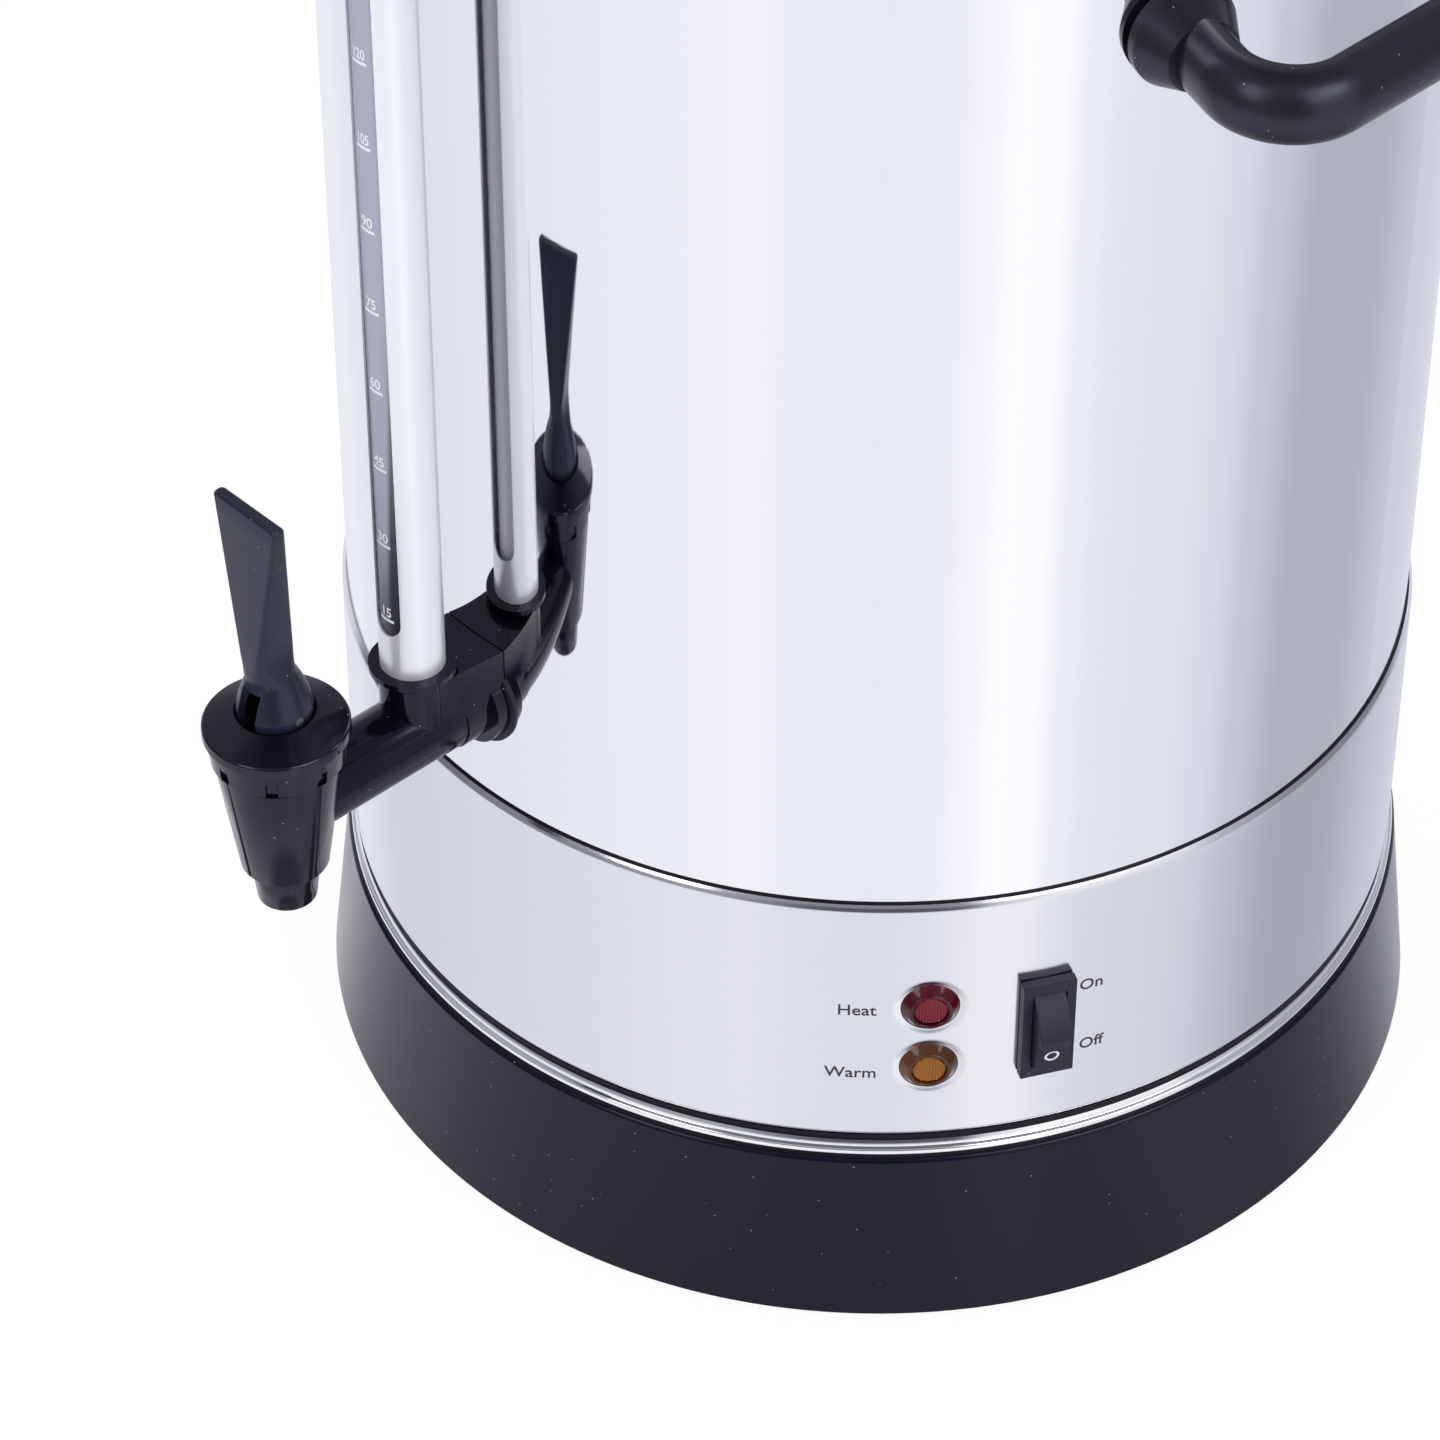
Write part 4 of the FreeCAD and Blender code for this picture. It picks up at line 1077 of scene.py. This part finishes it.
def make_lever():
    rings = lever_sections()
    clear_selection()
    bpy.ops.mesh.primitive_circle_add(vertices=36, radius=8.08 * MM, fill_type="NGON")
    lever = bpy.context.object
    lever.name = "tap_lever_shell"
    for vertex, place in zip(lever.data.vertices, rings[0]):
        vertex.co = place
    for ring in rings[1:]:
        bpy.ops.object.mode_set(mode="EDIT")
        bpy.ops.mesh.extrude_region_move(TRANSFORM_OT_translate={"value": (0, 0, 0.001)})
        bpy.ops.object.mode_set(mode="OBJECT")
        chosen = [v for v in lever.data.vertices if v.select]
        for vertex, place in zip(chosen, ring):
            vertex.co = place
    bpy.ops.object.mode_set(mode="EDIT")
    merge_doubles(MERGE / 2)
    face_outward()
    bpy.ops.object.mode_set(mode="OBJECT")
    return lever


tap_lever = make_lever()
print("lever loft has", len(tap_lever.data.polygons), "faces")


# %% Hollow the lever's bell
PIVOT_Z = 209.5 - TAP_DROP


def hollow_lever(lever):
    clear_selection()
    spot = (0, TAP_Y * MM, PIVOT_Z * MM)
    bpy.ops.mesh.primitive_uv_sphere_add(segments=48, ring_count=24, radius=7.3 * MM, location=spot)
    cuts = [bpy.context.object, upright(5.32, 200.0, 205.5, TAP_Y, 64)]
    cuts.append(brick(-3.2, 3.2, TAP_Y - 12, TAP_Y - 2, 200 - TAP_DROP, 217.4 - TAP_DROP))
    cuts.append(put(drum(1.3, -12, 12, 32), (0, 90, 0), (0, TAP_Y, PIVOT_Z)))
    return smooth(combine(lever, cuts), 32)


tap_lever = hollow_lever(tap_lever)
dress(tap_lever, lever_plastic)
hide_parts("tap_lever")
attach(tap_lever, "tap_lever")
print("lever has", len(tap_lever.data.polygons), "faces")

# %% [markdown]
# ## Pilot lamps
# Each lamp is a raised ring of tinted plastic round a grid of small pyramids, which spreads the light
# from behind.


# %% Lenses
PYRAMID = 0.4
GRID_CELLS = 22


def make_lens(name, height, clear, pattern):
    cone = turned(name, [
        (8.0, -4.1), (8.0, -2.0), (7.45, -2.0), (7.45, -0.45), (7.15, -0.1, 1), (6.75, 0.4), (5.7, 1.6),
        (5.5, 1.85, 1), (5.25, 1.95), (4.95, 1.95), (4.7, 1.8, 1), (4.6, 1.5), (4.6, 0.7), (0, 0.7),
        (0, -5.6), (5.9, -5.6), (6.2, -4.1),
    ])
    smooth(cone, 30)
    clear_selection()
    bpy.ops.mesh.primitive_grid_add(x_subdivisions=GRID_CELLS, y_subdivisions=GRID_CELLS,
                                    size=GRID_CELLS * PYRAMID * MM)
    waffle = put(bpy.context.object, (0, 0, 0), (0, 0, 1.15))
    for vertex in waffle.data.vertices:
        column = round(vertex.co.x / (PYRAMID * MM))
        row = round(vertex.co.y / (PYRAMID * MM))
        if column % 2 and row % 2:
            vertex.co.z += 0.45 * MM
    only(waffle)
    bpy.ops.object.mode_set(mode="EDIT")
    bpy.ops.mesh.select_all(action="SELECT")
    bpy.ops.mesh.extrude_region_move(TRANSFORM_OT_translate={"value": (0, 0, -0.4 * MM)})
    face_outward()
    bpy.ops.object.mode_set(mode="OBJECT")
    combine(waffle, [drum(4.1, 0.7, 3.0)], "INTERSECT")
    dress(cone, clear)
    dress(waffle, pattern)
    return stand(join([cone, waffle], name), LAMP_AZ, BAND_R, height)


for lens_name, lens_height, lens_clear, lens_pattern, lens_slot in (
        ("red_lamp_lens", RED_Z, red_lens, red_waffle_painted_light, "red_lens"),
        ("amber_lamp_lens", AMBER_Z, amber_lens, amber_waffle_painted_light, "amber_lens")):
    lens = make_lens(lens_name + "_piece", lens_height, lens_clear, lens_pattern)
    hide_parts(lens_name)
    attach(lens, "urn_body")
    print(lens_name, len(lens.data.polygons), "faces")

# %% [markdown]
# ## Rocker switch and printed words
# A snap-in switch with a bezel; the rocker has a ridge across its middle and carries a printed ring at
# its off end. Words beside the lamps and the switch are printed on the band.


# %% Switch bezel and rocker
def make_bezel():
    bezel = brick(-7.1, 7.1, -15.8, 15.8, 0.15, 3.2)
    combine(bezel, [brick(-6.2, 6.2, -14.6, 14.6, -19.0, 0.6)], "UNION")
    combine(bezel, [brick(-4.45, 4.45, -12.25, 12.25, -12.0, 5.0)])
    for y in (-8.0, 0.0, 8.0):
        combine(bezel, [brick(-2.4, 2.4, y - 0.4, y + 0.4, -27.0, -18.5)], "UNION")
    bezel.name = "switch_bezel"
    return stand(round_edges(bezel, 0.3, 3, 40), SWITCH_AZ, BAND_R, SWITCH_Z)


AXLE_Z = -2.0
REST_TILT = -8.0
SCOOP = [(-11.4, 4.3), (-10.0, 4.5), (-8.0, 5.0), (-6.0, 5.85), (-4.0, 7.0), (-2.0, 8.4)]


def make_rocker():
    side = [(-12.0, -3.4)] + SCOOP + [
        (-0.5, 9.5), (0.0, 9.7), (0.6, 9.65), (3.0, 8.9), (6.0, 7.6), (9.0, 5.95), (11.4, 4.3),
        (12.0, -3.4), (8.0, -5.0), (-8.0, -5.0), (-12.0, -3.4),
    ]
    rocker = put(plate("rocker", side, 8.6), (0, 0, 90), (0, 0, 0))
    axle = put(drum(1.25, -5.9, 5.9, 32), (0, 90, 0), (0, 0, AXLE_Z))
    return round_edges(combine(rocker, [axle], "UNION"), 0.3, 3, 30)


def tilt(obj):
    """Tip a rocker piece about its axle and stand it in the band."""
    put(obj, (0, 0, 0), (0, 0, -AXLE_Z))
    put(obj, (REST_TILT, 0, 0), (0, 0, AXLE_Z))
    stand(obj, SWITCH_AZ, BAND_R, SWITCH_Z)


bezel = make_bezel()
dress(bezel, switch_plastic)
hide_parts("switch_frame")
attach(bezel, "urn_body")
rocker = make_rocker()
rocker.name = "switch_rocker_piece"
tilt(rocker)
dress(rocker, switch_plastic)
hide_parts("switch_rocker")
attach(rocker, "switch_rocker")
print("switch made")


# %% Ring mark on the rocker
def make_ring_mark():
    """Ring printed on the rocker's scooped half, draped over its curve."""
    ring = turned("ring_mark", [(1.35, 0.0), (2.0, 0.0), (2.0, 0.05), (1.35, 0.05)], 64)
    for vertex in ring.data.vertices:
        y = vertex.co.y / MM * 0.95 - 7.4
        for (y0, h0), (y1, h1) in zip(SCOOP, SCOOP[1:]):
            if y0 <= y <= y1:
                vertex.co.z += (h0 + (h1 - h0) * (y - y0) / (y1 - y0)) * MM
        vertex.co.y = y * MM
    tilt(ring)
    return ring


ring_mark = make_ring_mark()
dress(ring_mark, white_print)
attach(ring_mark, "switch_rocker")


# %% Printed words
WORD_SIZE = 5.1
for text, azimuth, height in (
        ("On", 68.2, 105.0), ("Off", 68.5, 84.0), ("Heat", 43.7, 104.7), ("Warm", 43.2, 82.7)):
    word = lettering(text, WORD_SIZE, "word_" + text.lower(), 1.0, 0.05)
    wrap(word, azimuth, BAND_R + 0.02, height)
    dress(word, dark_print)
    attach(word, "urn_body")
print("four words printed")

# %% [markdown]
# ## Studio
# The urn stands on a pale floor. The world is white to the camera. In reflections it shows a studio of
# pale walls that are brighter on two sides, with one bright window high up. As plain light it is even.


# %% Floor
def make_floor():
    clear_selection()
    bpy.ops.mesh.primitive_plane_add(size=8.0, location=(0, 0, 0))
    floor = bpy.context.object
    floor.name = "floor"
    material = bpy.data.materials.new("Floor")
    material.use_nodes = True
    tree = material.node_tree
    tree.nodes.clear()
    matt = tree.nodes.new("ShaderNodeBsdfDiffuse")
    matt.inputs["Color"].default_value = (0.9, 0.9, 0.9, 1)
    glow = tree.nodes.new("ShaderNodeEmission")
    glow.inputs["Color"].default_value = (1, 1, 1, 1)
    glow.inputs["Strength"].default_value = 1.06
    mix = tree.nodes.new("ShaderNodeMixShader")
    ray = tree.nodes.new("ShaderNodeLightPath")
    share = times(tree, ray.outputs["Is Camera Ray"], 0.88)
    out = tree.nodes.new("ShaderNodeOutputMaterial")
    tree.links.new(share, mix.inputs["Fac"])
    tree.links.new(matt.outputs[0], mix.inputs[1])
    tree.links.new(glow.outputs[0], mix.inputs[2])
    tree.links.new(mix.outputs[0], out.inputs["Surface"])
    dress(floor, material)
    floor.visible_glossy = False
    return floor


floor = make_floor()
print("floor laid")

# %% World
# Brightness of the studio by compass direction, in degrees from the tap's direction, low down and near
# the horizon.
LOW_WALL = [
    (-180, 0.75), (-140, 0.85), (-120, 0.92), (-107, 0.95), (-95, 0.92), (-83, 0.86), (-67, 0.88),
    (-57, 0.90), (-45, 0.92), (-17, 0.95), (-8, 0.97), (2, 0.99), (9, 1.00), (18, 1.02), (29, 0.98),
    (45, 0.96), (57, 0.98), (65, 1.04), (71, 1.11), (78, 1.10), (85, 0.98), (92, 0.93), (100, 0.91),
    (110, 0.90), (120, 0.85), (128, 0.73), (142, 0.55), (160, 0.55), (180, 0.70),
]
HORIZON = [
    (-180, 0.90), (-82, 0.90), (-70, 0.12), (-20, 0.30), (15, 0.42), (40, 0.12), (62, 0.12), (70, 0.85),
    (80, 1.05), (105, 0.95), (118, 0.50), (135, 0.30), (160, 0.30), (180, 0.90),
]
RAMP_TOP = 1.5
UPPER_WALL = 0.50
CEILING = 0.14
GROUND = 0.35
WINDOW_LIGHT = 4.0


def wall_ramp(tree, factor, stops):
    """Colour ramp over the compass, read as a brightness up to the ramp's top."""
    ramp = tree.nodes.new("ShaderNodeValToRGB")
    ramp.color_ramp.interpolation = "EASE"
    elements = ramp.color_ramp.elements
    elements.remove(elements[-1])
    for i, (angle, value) in enumerate(stops):
        position = (angle + 180.0) / 360.0
        element = elements[0] if i == 0 else elements.new(position)
        element.position = position
        grey = value / RAMP_TOP
        element.color = (grey, grey, grey, 1)
    tree.links.new(factor, ramp.inputs["Fac"])
    return times(tree, ramp.outputs["Color"], RAMP_TOP)


def mix_values(tree, factor, a, b):
    """Blend two values, each a socket or a number."""
    node = tree.nodes.new("ShaderNodeMix")
    node.data_type = "FLOAT"
    tree.links.new(factor, node.inputs["Factor"])
    feed(tree, a, node.inputs[2])
    feed(tree, b, node.inputs[3])
    return node.outputs[0]


def make_world():
    world = bpy.data.worlds.new("Studio")
    bpy.context.scene.world = world
    world.use_nodes = True
    tree = world.node_tree
    tree.nodes.clear()
    x, y, z = split(tree, tree.nodes.new("ShaderNodeTexCoord").outputs["Generated"])
    compass = math_node(tree, "ARCTAN2", x, times(tree, y, -1.0))
    turn = math_node(tree, "ADD", math_node(tree, "DIVIDE", compass, 2 * math.pi), 0.5)
    low = wall_ramp(tree, turn, LOW_WALL)
    horizon = wall_ramp(tree, turn, HORIZON)
    wall = mix_values(tree, span(tree, z, -0.50, -0.30), low, horizon)
    wall = mix_values(tree, span(tree, z, 0.20, 0.40), wall, UPPER_WALL)
    wall = mix_values(tree, span(tree, z, 0.82, 0.94), wall, CEILING)
    wall = mix_values(tree, span(tree, z, -0.985, -0.95), GROUND, wall)
    wall = times(tree, wall, span(tree, z, -0.86, -0.74, 0.62, 1.0))
    across = (span(tree, turn, 0.728, 0.745), span(tree, turn, 0.80, 0.815, 1.0, 0.0))
    upward = (span(tree, z, 0.26, 0.32), span(tree, z, 0.62, 0.68, 1.0, 0.0))
    wall = math_node(tree, "ADD", wall, times(tree, *across, *upward, WINDOW_LIGHT))
    bright = span(tree, wall, 0.75, 1.1)
    tint = mix_colours(tree, bright, (0.86, 0.875, 1.0), (0.97, 0.98, 1.0))
    scaled = tree.nodes.new("ShaderNodeVectorMath")
    scaled.operation = "SCALE"
    tree.links.new(tint, scaled.inputs[0])
    tree.links.new(wall, scaled.inputs["Scale"])
    ray = tree.nodes.new("ShaderNodeLightPath")
    mirrored = math_node(tree, "MAXIMUM", ray.outputs["Is Glossy Ray"], ray.outputs["Is Transmission Ray"])
    colour = mix_colours(tree, mirrored, (0.75, 0.76, 0.78), scaled.outputs[0])
    colour = mix_colours(tree, ray.outputs["Is Camera Ray"], colour, (1.0, 1.0, 1.0))
    background = tree.nodes.new("ShaderNodeBackground")
    tree.links.new(colour, background.inputs["Color"])
    out = tree.nodes.new("ShaderNodeOutputWorld")
    tree.links.new(background.outputs[0], out.inputs["Surface"])
    return world


make_world()
print("world made")


# %% Soft lamps
def soft_box(name, azimuth, distance, height, width, tall, power):
    """Area light aimed at the urn's middle."""
    a = math.radians(azimuth)
    place = Vector((math.sin(a) * distance, -math.cos(a) * distance, height))
    clear_selection()
    bpy.ops.object.light_add(type="AREA", location=place)
    lamp = bpy.context.object
    lamp.name = name
    lamp.data.shape = "RECTANGLE"
    lamp.data.size = width
    lamp.data.size_y = tall
    lamp.data.energy = power
    lamp.rotation_euler = (Vector((0, 0, 0.2)) - place).to_track_quat("-Z", "Y").to_euler()
    return lamp


soft_box("key box", 75.0, 2.0, 1.3, 0.7, 1.2, 6.5)
soft_box("fill box", 5.0, 2.2, 1.2, 0.8, 1.2, 8.5)
print("lamps hung")

# %% Camera
# The camera stands to the right of the tap and looks down at 41 degrees, as in the photograph.
CAMERA_AZ = 44.6
CAMERA_REACH = 1.16422
CAMERA_HEIGHT = 1.09069
LOOK_DOWN = 41.04
LOOK_TURN = 46.66
FIELD = 14.615
SENSOR = 36.0
camera_data = bpy.data.cameras.new("camera")
camera = bpy.data.objects.new("camera", camera_data)
bpy.context.scene.collection.objects.link(camera)
stand_at = math.radians(CAMERA_AZ)
camera.location = (math.sin(stand_at) * CAMERA_REACH, -math.cos(stand_at) * CAMERA_REACH, CAMERA_HEIGHT)
camera.rotation_euler = (math.radians(90.0 - LOOK_DOWN), 0, math.radians(LOOK_TURN))
camera_data.sensor_width = SENSOR
camera_data.lens = SENSOR / 2 / math.tan(math.radians(FIELD / 2))
camera_data.clip_end = 20.0
bpy.context.scene.camera = camera
bpy.context.scene.view_settings.view_transform = "Standard"
print("lens", round(camera_data.lens, 2), "mm")
